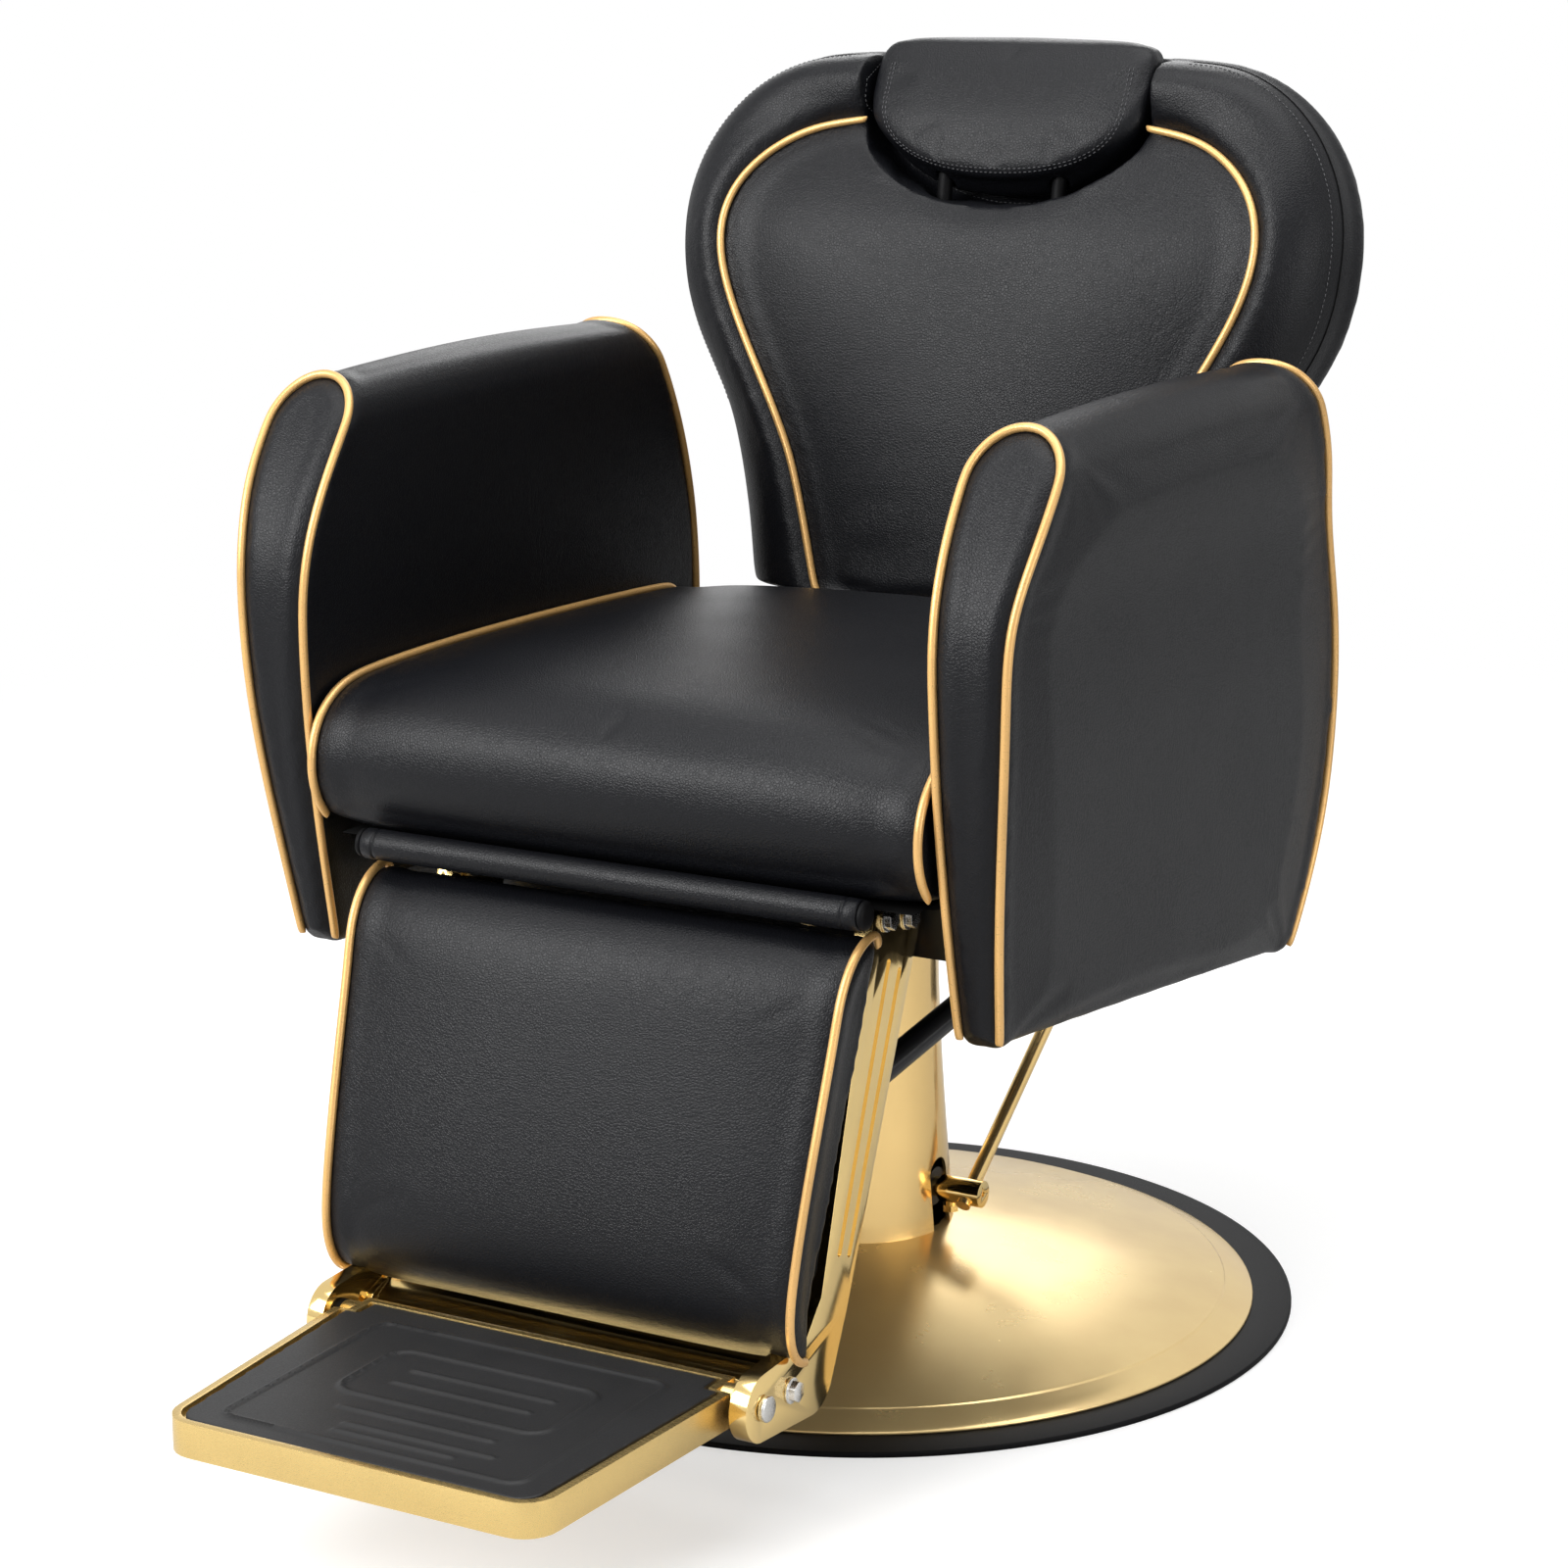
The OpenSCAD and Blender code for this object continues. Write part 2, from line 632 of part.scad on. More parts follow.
// Cross-section of the arm in [x, z], anticlockwise from the middle of its lower edge.
function arm_section(depth) = let (
    foot = arm_foot_z - arm_foot_fall * depth,
    mid_x = (arm_in_x + arm_out_x) / 2) concat(
    curve([[mid_x, foot], [arm_out_x - 4, foot], [arm_out_x, foot + 1],
        [arm_out_x + 0.5, foot + 14]], 4),
    curve([[arm_out_x + 0.5, foot + 14], [arm_out_x + 6, foot + 105],
        [arm_out_x + 18, arm_waist_z - 90], [arm_out_x + 18, arm_waist_z]], 6),
    curve([[arm_out_x + 18, arm_waist_z], [arm_out_x + 18, arm_waist_z + 50],
        [arm_roll_x + arm_roll_r, arm_roll_z - 48], [arm_roll_x + arm_roll_r, arm_roll_z]], 5),
    [for (a = [0:15:165]) [arm_roll_x + arm_roll_r * cos(a), arm_roll_z + arm_roll_r * sin(a)]],
    curve([[arm_roll_x - arm_roll_r, arm_roll_z], [arm_roll_x - arm_roll_r, arm_roll_z - 43],
        [arm_in_x - 5, arm_waist_z + 10], [arm_in_x - 4, arm_waist_z - 30]], 4),
    line([arm_in_x - 4, arm_waist_z - 30], [arm_in_x, foot + 14], 5),
    curve([[arm_in_x, foot + 14], [arm_in_x, foot + 1], [arm_in_x + 4, foot], [mid_x, foot]], 4));

// Point of a section set at its depth: 0 is the front edge, 1 the rear edge.
function arm_point(p, depth, bulge) = [
    p[0] + depth * clamp((p[0] - arm_in_x - 9) / 30) * mix(foot_flare, waist_flare,
        clamp((p[1] - arm_foot_z) / (arm_waist_z - arm_foot_z))),
    mix(arm_front(p[1]), arm_rear(p[1]), depth) + bulge,
    p[1] + 6 * sin(180 * depth) * clamp((p[1] - arm_roll_z) / arm_roll_r)];

// Padded arm: rolled top, thin foot, and bulging panels at its front and rear.
module arm_pad() {
    front = [for (s = panel_steps)
        [for (p = grow(arm_section(0), -s[0])) arm_point(p, 0, -s[1])]];
    middle = [for (depth = [0.12, 0.35, 0.65, 0.88])
        [for (p = arm_section(depth)) arm_point(p, depth, 0)]];
    rear = [for (i = [3:-1:0]) let (s = panel_steps[i])
        [for (p = grow(arm_section(1), -s[0])) arm_point(p, 1, s[1])]];
    color(leather) loft(concat(front, middle, rear));
}

// Cords around the front panel and around the rear panel.
module arm_piping() {
    color(piping_gold) for (depth = [0, 1]) {
        seam = grow(arm_section(depth), -1.4);
        cord([for (i = [3:37]) arm_point(seam[i], depth, depth == 0 ? -2.8 : 2.8)],
            piping_r, [0, 1, 0]);
    }
}

module arm_pad_right() { arm_pad(); }
module arm_pad_left() { mirror([1, 0, 0]) arm_pad(); }
module arm_piping_right() { arm_piping(); }
module arm_piping_left() { mirror([1, 0, 0]) arm_piping(); }

// Spacer plates between the seat rails and the arms.
module arm_brackets() {
    outer_x = arm_in_x - 1.6;
    inner_x = rail_x + rail_t + seat_fit;
    color(black_steel) both_sides() difference() {
        for (k = [0, 2])
            translate([inner_x, arm_bolt_y[k] - 15, rail_z])
                cube([outer_x - inner_x, arm_bolt_y[k + 1] - arm_bolt_y[k] + 30, rail_h]);
        for (y = arm_bolt_y)
            x_cyl(inner_x - 1, outer_x + 1, [y, arm_bolt_z], arm_bolt_r + seat_fit);
    }
}

// Bolts that hold each arm to its rail.
module arm_bolts() {
    color(steel) both_sides() for (y = arm_bolt_y) {
        x_cyl(rail_x - 1, arm_in_x - 1.6, [y, arm_bolt_z], arm_bolt_r);
        x_hex(rail_x - seat_fit, -6, [y, arm_bolt_z], 8);
    }
}

// ---- Footrest hinge inside the upholstered front bar ----

bracket_x = leg_x - 5;
bar_end = roller_half - 5;

module pivot_shaft() {
    color(steel) x_cyl(-bar_end + 3, bar_end - 3, pivot_yz, pivot_r);
}

// Opening in the bar for a hinge ear that points along the given angles.
module ear_notch(x0, x1, angles) {
    x_plate(x0 - 0.5, x1 + 0.5) translate(pivot_yz) {
        circle(ear_r + 0.4, $fn = small_fn);
        for (a = angles)
            rotate(a) translate([0, -ear_r - 0.1]) square([2 * roller_r, 2 * ear_r + 0.2]);
    }
}

// Vinyl-covered bar around the hinge shaft, notched at the rear for the ears.
module front_bar() {
    color(leather) difference() {
        x_cyl(-bar_end, bar_end, pivot_yz, roller_r);
        x_cyl(-bar_end - 1, bar_end + 1, pivot_yz, pivot_r + seat_fit);
        both_sides() {
            ear_notch(ear_x, ear_x + ear_t, [-28]);
            ear_notch(bracket_x, leg_x, [-17, -40, -17 - recline_max]);
        }
    }
}

module front_bar_caps() {
    color(black_steel) both_sides() difference() {
        x_cyl(bar_end + seat_fit, roller_half, pivot_yz, roller_r - 2);
        x_cyl(bar_end - 1, bar_end + 2, pivot_yz, pivot_r);
    }
}

// ---- Backrest ----

back_plate_x = rail_x - 16;
back_plate_t = 10;
cross_rod_r = 8;
board_d = back_t + air;
board_t = 8;
board_set_in = 12;
post_d = 35;
socket_r = post_r + 3;

// Back frame of reference: X across, Y depth behind the piping plane, Z up the backrest.
module on_back() {
    translate([0, back_ref_y, back_ref_z]) rotate([-back_tilt, 0, 0]) children();
}

// Flat shape in [x, height] on the backrest, from one depth to another.
module back_plate(d0, d1) {
    translate([0, d1, 0]) rotate([90, 0, 0]) linear_extrude(d1 - d0) children();
}

// The right half of an outline and its mirror image, anticlockwise.
function mirrored(half) = concat(half,
    [for (i = [len(half) - 1:-1:0]) [-half[i][0], half[i][1]]]);

// Widest outline of the cushion.
back_outer = mirrored(concat(
    line([8, -287], [195, -285], 4),
    curve([[195, -285], [205, -285], [208, -283], [209, -272]], 2),
    curve([[209, -272], [216, -215], [226, -180], [240, -139]], 5),
    curve([[240, -139], [256, -100], [back_half_w, -75], [back_half_w, 10]], 7),
    curve([[back_half_w, 10], [back_half_w, 90], [235, 157], [154, 157]], 8),
    line([154, 157], [8, 160], 3), [[8, 160]]));

// Seam line where the piping runs.
back_seam = mirrored(concat(
    line([8, -289], [108, -287], 4),
    curve([[108, -287], [114, -287], [118, -285], [120, -279]], 2),
    curve([[120, -279], [130, -245], [140, -205], [154, -170]], 5),
    curve([[154, -170], [185, -105], [233, -45], [233, 5]], 7),
    curve([[233, 5], [233, 60], [180, 90], [141, 97]], 8),
    line([141, 97], [8, 106], 3), [[8, 106]]));

head_foot_v = 50;
head_top_v = 168;
head_rear_d = 60;
head_outline = mirrored(concat(
    curve([[6, head_foot_v], [60, head_foot_v], [head_half_w, 75], [head_half_w, 115]], 8),
    line([head_half_w, 115], [head_half_w, 145], 2),
    curve([[head_half_w, 145], [head_half_w, 160], [98, head_top_v - 2], [80, head_top_v - 1]], 4),
    line([80, head_top_v - 1], [6, head_top_v], 4), [[6, head_top_v]]));

// How far the front face sets back towards the head of the backrest.
function set_back(v) = 37 * pow(clamp((v + 20) / 125), 2);

// Ring of the front panel, shrunk towards its middle.
function panel_ring(share, depth) = [for (p = back_seam) let (v = (p[1] + 60) * share - 60)
    [p[0] * share, depth + set_back(v), v]];

// Ring of the bolster, part of the way from the seam to the widest outline.
function bolster_ring(share, depth) = [for (i = [0:len(back_seam) - 1])
    let (p = mix(back_seam[i], back_outer[i], share))
    [p[0], depth + set_back(p[1]) * clamp(1 - share / 0.95), p[1]]];

// Cushion: crowned front panel, a full bolster outside the seam, and a recess for the headrest.
module back_cushion() {
    color(leather) on_back() difference() {
        loft([panel_ring(0.35, -13), panel_ring(0.75, -10), panel_ring(0.94, -2),
            bolster_ring(0, 2), bolster_ring(0.12, -7), bolster_ring(0.38, -8),
            bolster_ring(0.66, 4), bolster_ring(0.88, 24), bolster_ring(1, 52),
            bolster_ring(0.985, back_t - 9), bolster_ring(0.95, back_t)]);
        back_plate(-40, head_rear_d + 3) {
            translate([0, -6]) polygon(grow(head_outline, head_gap));
            translate([-head_half_w - head_gap, 120]) square([2 * (head_half_w + head_gap), 90]);
        }
        for (side = [-1, 1])
            translate([side * post_x, post_d, -96]) cylinder(r = socket_r + air, h = 150, $fn = 24);
    }
}

// Cord along the seam, over both shoulders and down to the lower corners.
module back_piping() {
    last = len(back_seam) / 2 - 4;
    half = [for (i = [5:last]) back_seam[i]];
    color(piping_gold) on_back() for (side = [-1, 1])
        cord([for (p = half) [side * p[0], set_back(p[1]) - 2.9, p[1]]], piping_r, [0, 1, 0]);
}

// Plywood board behind the cushion.
module back_board() {
    color(plywood) on_back() back_plate(board_d, board_d + board_t)
        offset(r = -board_set_in) polygon(back_outer);
}

bar_d = board_d + board_t + seat_fit;
bar_t = 5;
back_bar_x = 95;
back_bar_w = 30;
rear_cover_t = 9;
rear_cover_wall = 8;
rear_cover_set_in = 15;

module back_bars(extra) {
    both_sides() translate([back_bar_x - extra, bar_d - extra, -289])
        cube([back_bar_w + 2 * extra, bar_t + 2 * extra, 329]);
}

// Moulded rear cover, hollow over the two frame bars.
module back_cover() {
    color(leather) on_back() difference() {
        back_plate(bar_d, bar_d + rear_cover_t)
            offset(r = -rear_cover_set_in) polygon(back_outer);
        back_plate(bar_d - 1, bar_d + bar_t + air)
            offset(r = -rear_cover_set_in - rear_cover_wall) polygon(back_outer);
        back_bars(air);
    }
}

// Steel frame: hinge plates that reach down to the cross rod, a beam under the cushion
// and two bars up the rear of the board.
module back_frame() {
    beam_d = back_hinge[0] - 1;
    beam_h = 11.3;
    beam_foot_v = back_hinge[1] + 12.75;
    beam_end = back_place([bar_d - 30, beam_foot_v + beam_h / 2 - 1]);
    color(black_steel) difference() {
        union() {
            both_sides() x_plate(back_plate_x, back_plate_x + back_plate_t) {
                span([back_yz, 16], [link_rear_yz, cross_rod_r + 4]);
                span([back_yz, 16], [beam_end, 7]);
            }
            on_back() {
                translate([-back_plate_x - 1, beam_d, beam_foot_v])
                    cube([2 * back_plate_x + 2, bar_d + bar_t - beam_d, beam_h]);
                back_bars(0);
            }
        }
        x_cyl(-rail_x, rail_x, back_yz, back_pin_r + run_fit);
        x_cyl(-rail_x, rail_x, link_rear_yz, cross_rod_r + seat_fit);
    }
}

// Hinge pins, fixed in the uprights, with a shoulder between upright and hinge plate.
module back_pins() {
    inner_x = back_plate_x - air;
    outer_x = back_plate_x + back_plate_t + air;
    color(steel) both_sides() {
        x_cyl(inner_x - 5, rail_x + upright_t + 1, back_yz, back_pin_r);
        x_cyl(inner_x - 6, inner_x, back_yz, back_pin_r + 4);
        x_cyl(outer_x, rail_x - seat_fit, back_yz, back_pin_r + 5);
    }
}

// Rod across the feet of the hinge plates; both link tubes hang on it.
module cross_rod() {
    color(steel) x_cyl(-back_plate_x - back_plate_t, back_plate_x + back_plate_t,
        link_rear_yz, cross_rod_r);
}

// ---- Headrest ----

socket_foot_v = -92;

module headrest_sockets() {
    color(black_steel) on_back() for (side = [-1, 1])
        translate([side * post_x, post_d, socket_foot_v]) difference() {
            cylinder(r = socket_r, h = 126, $fn = small_fn);
            translate([0, 0, 3]) cylinder(r = post_r + run_fit, h = 126, $fn = small_fn);
        }
}

module headrest_posts() {
    color(steel) on_back() for (side = [-1, 1])
        translate([side * post_x, post_d, socket_foot_v + 8])
            cylinder(r = post_r, h = 192, $fn = small_fn);
}

// Front face of the headrest at a height: it leans back like the cushion around it.
function head_front(v) = 2 + 0.26 * (v - head_foot_v);

// Tongue-shaped pad that fills the recess and stands proud of the cushion.
module headrest_pad() {
    steps = [[0, 26], [0.03, 12], [0.16, 3], [0.36, 0], [0.7, 0], [0.9, 2], [1, 12]];
    color(leather) on_back() difference() {
        loft([for (s = steps) [for (p = grow(head_outline, -s[1]))
            [p[0], mix(head_front(p[1]), head_rear_d, s[0]), p[1]]]]);
        for (side = [-1, 1])
            translate([side * post_x, post_d, 0]) cylinder(r = post_r + seat_fit, h = 109, $fn = 24);
    }
}

// ---- Footrest arms ----

leg_top = [[-258, 388], [-298, 389]];
leg_shin = [-366, 142];
leg_heel = [-395, 100];
leg_screw_yz = [[-293, 394], [-262, 388]];
gap_screw_yz = [-427, 101];
screw_r = 4;
plate_pin_r = 6;
stud_r = 6;
link_x = 151;
link_eye_half = 9.5;

// Cast arm: broad head, tapered shin with two long grooves, heel and hinge lobe.
module footrest_arm() {
    grooves = [[[-290, 362], [-359, 176]], [[-274, 352], [-345, 171]]];
    color(gold) difference() {
        union() {
            x_plate(leg_x, leg_x + leg_t) {
                hull() {
                    for (c = leg_top)
                        translate(c) circle(16.5, $fn = small_fn);
                    translate(leg_shin) circle(20.5, $fn = small_fn);
                }
                span([leg_shin, 20.5], [leg_heel, 28]);
                span([leg_heel, 28], [plate_yz, 23.5]);
            }
            x_cyl(link_x - link_eye_half - 2, leg_x + 1, link_front_yz, stud_r);
        }
        for (g = grooves)
            x_plate(leg_x + leg_t - 1.4, leg_x + leg_t + 1) span([g[0], 3], [g[1], 3]);
        for (c = leg_screw_yz)
            x_cyl(leg_x - 1, leg_x + leg_t + 1, c, screw_r + seat_fit);
        x_cyl(leg_x - 1, leg_x + leg_t + 1, gap_screw_yz, screw_r + seat_fit);
        x_cyl(leg_x - 1, leg_x + leg_t + 1, plate_yz, plate_pin_r + seat_fit);
    }
}

module footrest_arm_right() { footrest_arm(); }
module footrest_arm_left() { mirror([1, 0, 0]) footrest_arm(); }

// Steel brackets inside the arms' heads, with ears on the hinge shaft.
module hinge_brackets() {
    color(black_steel) both_sides() difference() {
        x_plate(bracket_x, leg_x - seat_fit) {
            translate(pivot_yz) circle(ear_r, $fn = small_fn);
            span([pivot_yz, 6.5], [[-318, 402], 6.5]);
            span([[-318, 402], 6.5], [[-293, 392], 11]);
            span([[-293, 392], 11], [[-262, 387], 11]);
        }
        x_cyl(bracket_x - 1, leg_x + 1, pivot_yz, pivot_r + run_fit);
        for (c = leg_screw_yz)
            x_cyl(bracket_x - 1, leg_x + 1, c, screw_r + seat_fit);
    }
}

// Screws with hexagon heads and washers through the arms.
module arm_screws() {
    out_x = leg_x + leg_t + seat_fit;
    color(steel) both_sides() for (c = concat(leg_screw_yz, [gap_screw_yz])) {
        x_cyl(bracket_x, out_x + 1, c, screw_r);
        x_cyl(out_x, out_x + 1.5, c, 9);
        x_hex(out_x + 1.5, 5, c, 7.5);
    }
}

// ---- Calf pad ----

calf_lean = 18.04;
calf_rear_top = [-343, 369];

// Calf frame of reference: Y behind the pad's rear face, Z up along it.
module on_calf() {
    translate([0, calf_rear_top[0], calf_rear_top[1]]) rotate([-calf_lean, 0, 0]) children();
}

calf_foot_z = 128;
calf_top_z = 396;
calf_outline = concat(
    curve([[-418, calf_foot_z], [-407, calf_foot_z], [-408, 135], [-414, 151]], 3),
    line([-414, 151], calf_rear_top, 8),
    curve([calf_rear_top, [-342, 385], [-344, calf_top_z], [-353, calf_top_z]], 3),
    curve([[-353, calf_top_z], [-376, calf_top_z - 1], [-393, 380], [-400, 358]], 6),
    curve([[-400, 358], [-410, 315], [-437, 240], [-446, 185]], 8),
    curve([[-446, 185], [-452, 150], [-435, calf_foot_z], [-418, calf_foot_z]], 6));

function calf_half_w(z) = mix(calf_foot_w, calf_top_w,
    clamp((z - calf_foot_z) / (calf_top_z - calf_foot_z)));

// How far a point of the outline lies ahead of the pad's rear face.
function calf_ahead(p) = (calf_rear_top[0] - p[0]) * cos(calf_lean)
    + (p[1] - calf_rear_top[1]) * sin(calf_lean);

// Pad that curves forward to its foot, crowned across its width.
module calf_pad() {
    rings = [for (j = [side_steps:-1:-side_steps]) let (
        share = across_share(j),
        swell = 1 - pow(share, 4),
        ring = grow(calf_outline, -end_draw * pow(share, 12)))
        [for (p = ring) [calf_half_w(p[1]) * share,
            p[0] - 9 * swell * clamp(calf_ahead(p) / 30 - 0.2), p[1]]]];
    color(leather) loft(rings);
}

module calf_piping() {
    seam = grow(calf_outline, -2.3);
    n = len(seam);
    color(piping_gold) for (side = [-1, 1])
        cord([for (i = [12:n]) let (p = seam[i % n]) [side * (calf_half_w(p[1]) - 1.4), p[0], p[1]]],
            piping_r, [1, 0, 0]);
}

calf_board_t = 10;

module calf_board() {
    color(plywood) on_calf() translate([0, air + calf_board_t, -112]) rotate([90, 0, 0])
        linear_extrude(calf_board_t) rounded_rect(calf_foot_w - 8, 104, 16);
}

// Two square bars that tie the arms together and carry the calf board.
module calf_frame() {
    half_w = leg_x - seat_fit;
    front = air + calf_board_t + seat_fit;
    color(black_steel) on_calf() for (z = [-62, -172])
        translate([-half_w, front, z]) cube([2 * half_w, 32, 24]);
}

// Sloping plate that closes the gap between calf pad and footplate.
module gap_plate() {
    color(gold) difference() {
        union() {
            translate([0, -416, 109]) rotate([29.4, 0, 0])
                translate([-leg_x + 3, -17, -2]) cube([2 * leg_x - 6, 34, 4]);
            both_sides() x_plate(leg_x - 5, leg_x - seat_fit)
                span([gap_screw_yz, 9], [[-416, 109], 5]);
        }
        both_sides() x_cyl(leg_x - 6, leg_x, gap_screw_yz, screw_r + seat_fit);
    }
}

// ---- Link tubes ----

// Tube with an eye at each end; the rear eye runs loose on the cross rod.
module link_tube() {
    x0 = link_x - link_eye_half;
    x1 = link_x + link_eye_half;
    color(black_steel) difference() {
        union() {
            x_cyl(x0, x1, link_front_yz, stud_r + 6);
            x_cyl(x0, x1, link_rear_yz, cross_rod_r + 5);
            translate([link_x, link_front_yz[0], link_front_yz[1]]) rotate([link_slope - 90, 0, 0])
                translate([0, 0, stud_r + 2]) cylinder(r = 10, h = link_len - stud_r - cross_rod_r - 4,
                    $fn = small_fn);
        }
        x_cyl(x0 - 5, x1 + 5, link_front_yz, stud_r + run_fit);
        x_cyl(x0 - 5, x1 + 5, link_rear_yz, cross_rod_r + 0.2);
    }
}

module link_right() { link_tube(); }
module link_left() { mirror([1, 0, 0]) link_tube(); }

// ---- Footplate ----

plate_ear_r = 12;
plate_body_w = plate_rear_w - 11.5;
plate_corner_r = 24;
plate_front_y = plate_yz[0] - plate_len;
plate_rear_y = plate_yz[0] + plate_ear_r;
plate_top_z = plate_yz[1] + plate_ear_r;
tread_z = plate_top_z - 4;

// Plan of the footplate, drawn in by an inset: round front corners, and sides that flare
// out as far as the hinge ears.
function plate_plan(inset) = let (
    r = max(plate_corner_r - inset, 4),
    cx = plate_front_w - inset - r,
    cy = plate_front_y + inset + r,
    flare = [[plate_rear_w - inset, plate_rear_y - 26], [plate_body_w - inset, plate_rear_y - 24.5]],
    right = concat([for (a = [-90:15:0]) [cx + r * cos(a), cy + r * sin(a)]],
        inset < 12 ? flare : [], [[plate_body_w - inset, plate_rear_y - inset]]))
    concat(right, [for (i = [len(right) - 1:-1:0]) [-right[i][0], right[i][1]]]);

// Cast tray with a rim all round, a tread web, ribs under it and two hinge ears.
module footplate() {
    rim_foot_z = plate_top_z - plate_h;
    web_t = 4;
    color(gold) difference() {
        union() {
            difference() {
                translate([0, 0, rim_foot_z]) linear_extrude(plate_h) polygon(plate_plan(0));
                translate([0, 0, tread_z]) linear_extrude(plate_h) polygon(plate_plan(6));
                difference() {
                    translate([0, 0, rim_foot_z - 1])
                        linear_extrude(tread_z - web_t - rim_foot_z + 1) polygon(plate_plan(6));
                    for (x = [-90, -30, 30, 90])
                        translate([x - 2, plate_front_y, rim_foot_z + 5]) cube([4, plate_len + 20, 20]);
                }
            }
            both_sides() x_cyl(plate_body_w - 4, plate_rear_w, plate_yz, plate_ear_r);
        }
        both_sides() x_cyl(plate_body_w - 9, plate_rear_w + 1, plate_yz, plate_pin_r + run_fit);
    }
}

// Rubber mat with a raised border line, an inner line and short ribs.
module footplate_mat() {
    mat_t = 4;
    color(rubber) {
        translate([0, 0, tread_z + seat_fit]) linear_extrude(mat_t) polygon(plate_plan(6.3));
        for (inset = [16, 34])
            translate([0, 0, tread_z + 3]) linear_extrude(3) difference() {
                polygon(plate_plan(inset));
                polygon(plate_plan(inset + 4.5));
            }
        for (k = [-5:5])
            translate([14 * k - 2, plate_front_y + 56, tread_z + 3])
                cube([4, plate_len - 100, 3]);
    }
}

// Hinge pins of the footplate, with low round heads outside the arms.
module footplate_pins() {
    out_x = leg_x + leg_t + seat_fit;
    color(steel) both_sides() {
        x_cyl(plate_body_w - 6, out_x + 1, plate_yz, plate_pin_r);
        x_cyl(out_x, out_x + 5, plate_yz, plate_pin_r + 3);
    }
}

module hinge_washers() {
    color(rubber) both_sides() difference() {
        x_cyl(plate_rear_w + air, leg_x - seat_fit, plate_yz, plate_ear_r);
        x_cyl(plate_rear_w, leg_x, plate_yz, plate_pin_r + seat_fit);
    }
}

floor_pad();
base_plate();
base_dish();
pump_body();
pump_bolts();
pump_cover();
pump_gland();
lever_shaft();
lever_hub();
lever_screw();
lever_rod();
foot_pedal();
pedal_rubber();
ram();
thrust_washer();
seat_mount();
mount_bolts();
seat_frame();
seat_board();
seat_cushion();
seat_piping();
arm_brackets();
arm_bolts();
arm_pad_right();
arm_pad_left();
arm_piping_right();
arm_piping_left();
pivot_shaft();
front_bar();
front_bar_caps();
back_pins();
back_frame();
back_board();
back_cover();
back_cushion();
back_piping();
cross_rod();
headrest_sockets();
headrest_pad();
headrest_posts();
hinge_brackets();
footrest_arm_right();
footrest_arm_left();
arm_screws();
calf_frame();
calf_board();
calf_pad();
calf_piping();
gap_plate();
link_right();
link_left();
hinge_washers();
footplate();
footplate_mat();
footplate_pins();
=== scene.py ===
import json
import math
import bpy
import bmesh
from mathutils import Matrix, Vector, bvhtree


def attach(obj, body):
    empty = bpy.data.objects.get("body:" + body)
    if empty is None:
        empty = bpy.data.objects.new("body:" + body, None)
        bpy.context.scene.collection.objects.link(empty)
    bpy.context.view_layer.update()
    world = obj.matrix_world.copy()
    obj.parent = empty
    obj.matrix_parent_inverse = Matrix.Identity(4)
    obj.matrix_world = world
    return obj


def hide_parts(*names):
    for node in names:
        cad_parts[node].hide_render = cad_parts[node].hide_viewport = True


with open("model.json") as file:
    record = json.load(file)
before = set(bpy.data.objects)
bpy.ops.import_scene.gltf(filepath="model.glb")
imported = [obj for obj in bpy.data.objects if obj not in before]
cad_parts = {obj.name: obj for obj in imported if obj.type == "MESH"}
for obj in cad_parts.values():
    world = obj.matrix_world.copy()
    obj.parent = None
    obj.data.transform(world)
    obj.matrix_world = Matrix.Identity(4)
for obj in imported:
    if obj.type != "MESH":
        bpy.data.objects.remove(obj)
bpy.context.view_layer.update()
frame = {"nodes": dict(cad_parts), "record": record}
nodes = frame["nodes"]
print("chair frame loaded:", len(nodes), "nodes")

# studio: camera, lamps, world and floor

studio = {
    "eye": (1.3052, -2.4649, 1.0757),
    "lookAt": (-0.0511, -0.0283, 0.4060),
    "lens": 85.98,
    "sensor": 36,
    "farthest": 100,
    "floorSize": 40.0,
    "floorShade": 0.62,
    "floorGlow": 0.56,
    "floorMirror": 0.04,
    "whiteFrom": 0.9,
    "whiteTo": 2.6,
    "worldLight": 0.20,
    "worldMirror": 0.80,
    "lamps": {
        # name: (place, target, width, height, watts)
        "keyBox": ((-1.75, -3.4, 2.5), (0, 0, 0.6), 2.8, 2.4, 205),
        "sideBox": ((3.8, -0.9, 1.1), (0, 0, 0.5), 2.2, 1.8, 38),
        "topBox": ((0.3, -0.3, 4.2), (0, 0, 0.4), 4.4, 3.2, 150),
        "rearBox": ((-1.6, 3.4, 2.2), (0, 0, 0.6), 2.0, 1.6, 24),
    },
}


def aimedAt(obj, place, target):
    obj.location = place
    obj.rotation_euler = (Vector(target) - Vector(place)).to_track_quat("-Z", "Y").to_euler()
    bpy.context.collection.objects.link(obj)


def addCamera():
    data = bpy.data.cameras.new("chairCamera")
    data.lens = studio["lens"]
    data.sensor_width = studio["sensor"]
    data.clip_end = studio["farthest"]
    cam = bpy.data.objects.new("chairCamera", data)
    aimedAt(cam, studio["eye"], studio["lookAt"])
    bpy.context.scene.camera = cam


def addLamps():
    for name, (place, target, width, height, watts) in studio["lamps"].items():
        data = bpy.data.lights.new(name, "AREA")
        data.shape = "RECTANGLE"
        data.size = width
        data.size_y = height
        data.energy = watts
        aimedAt(bpy.data.objects.new(name, data), place, target)


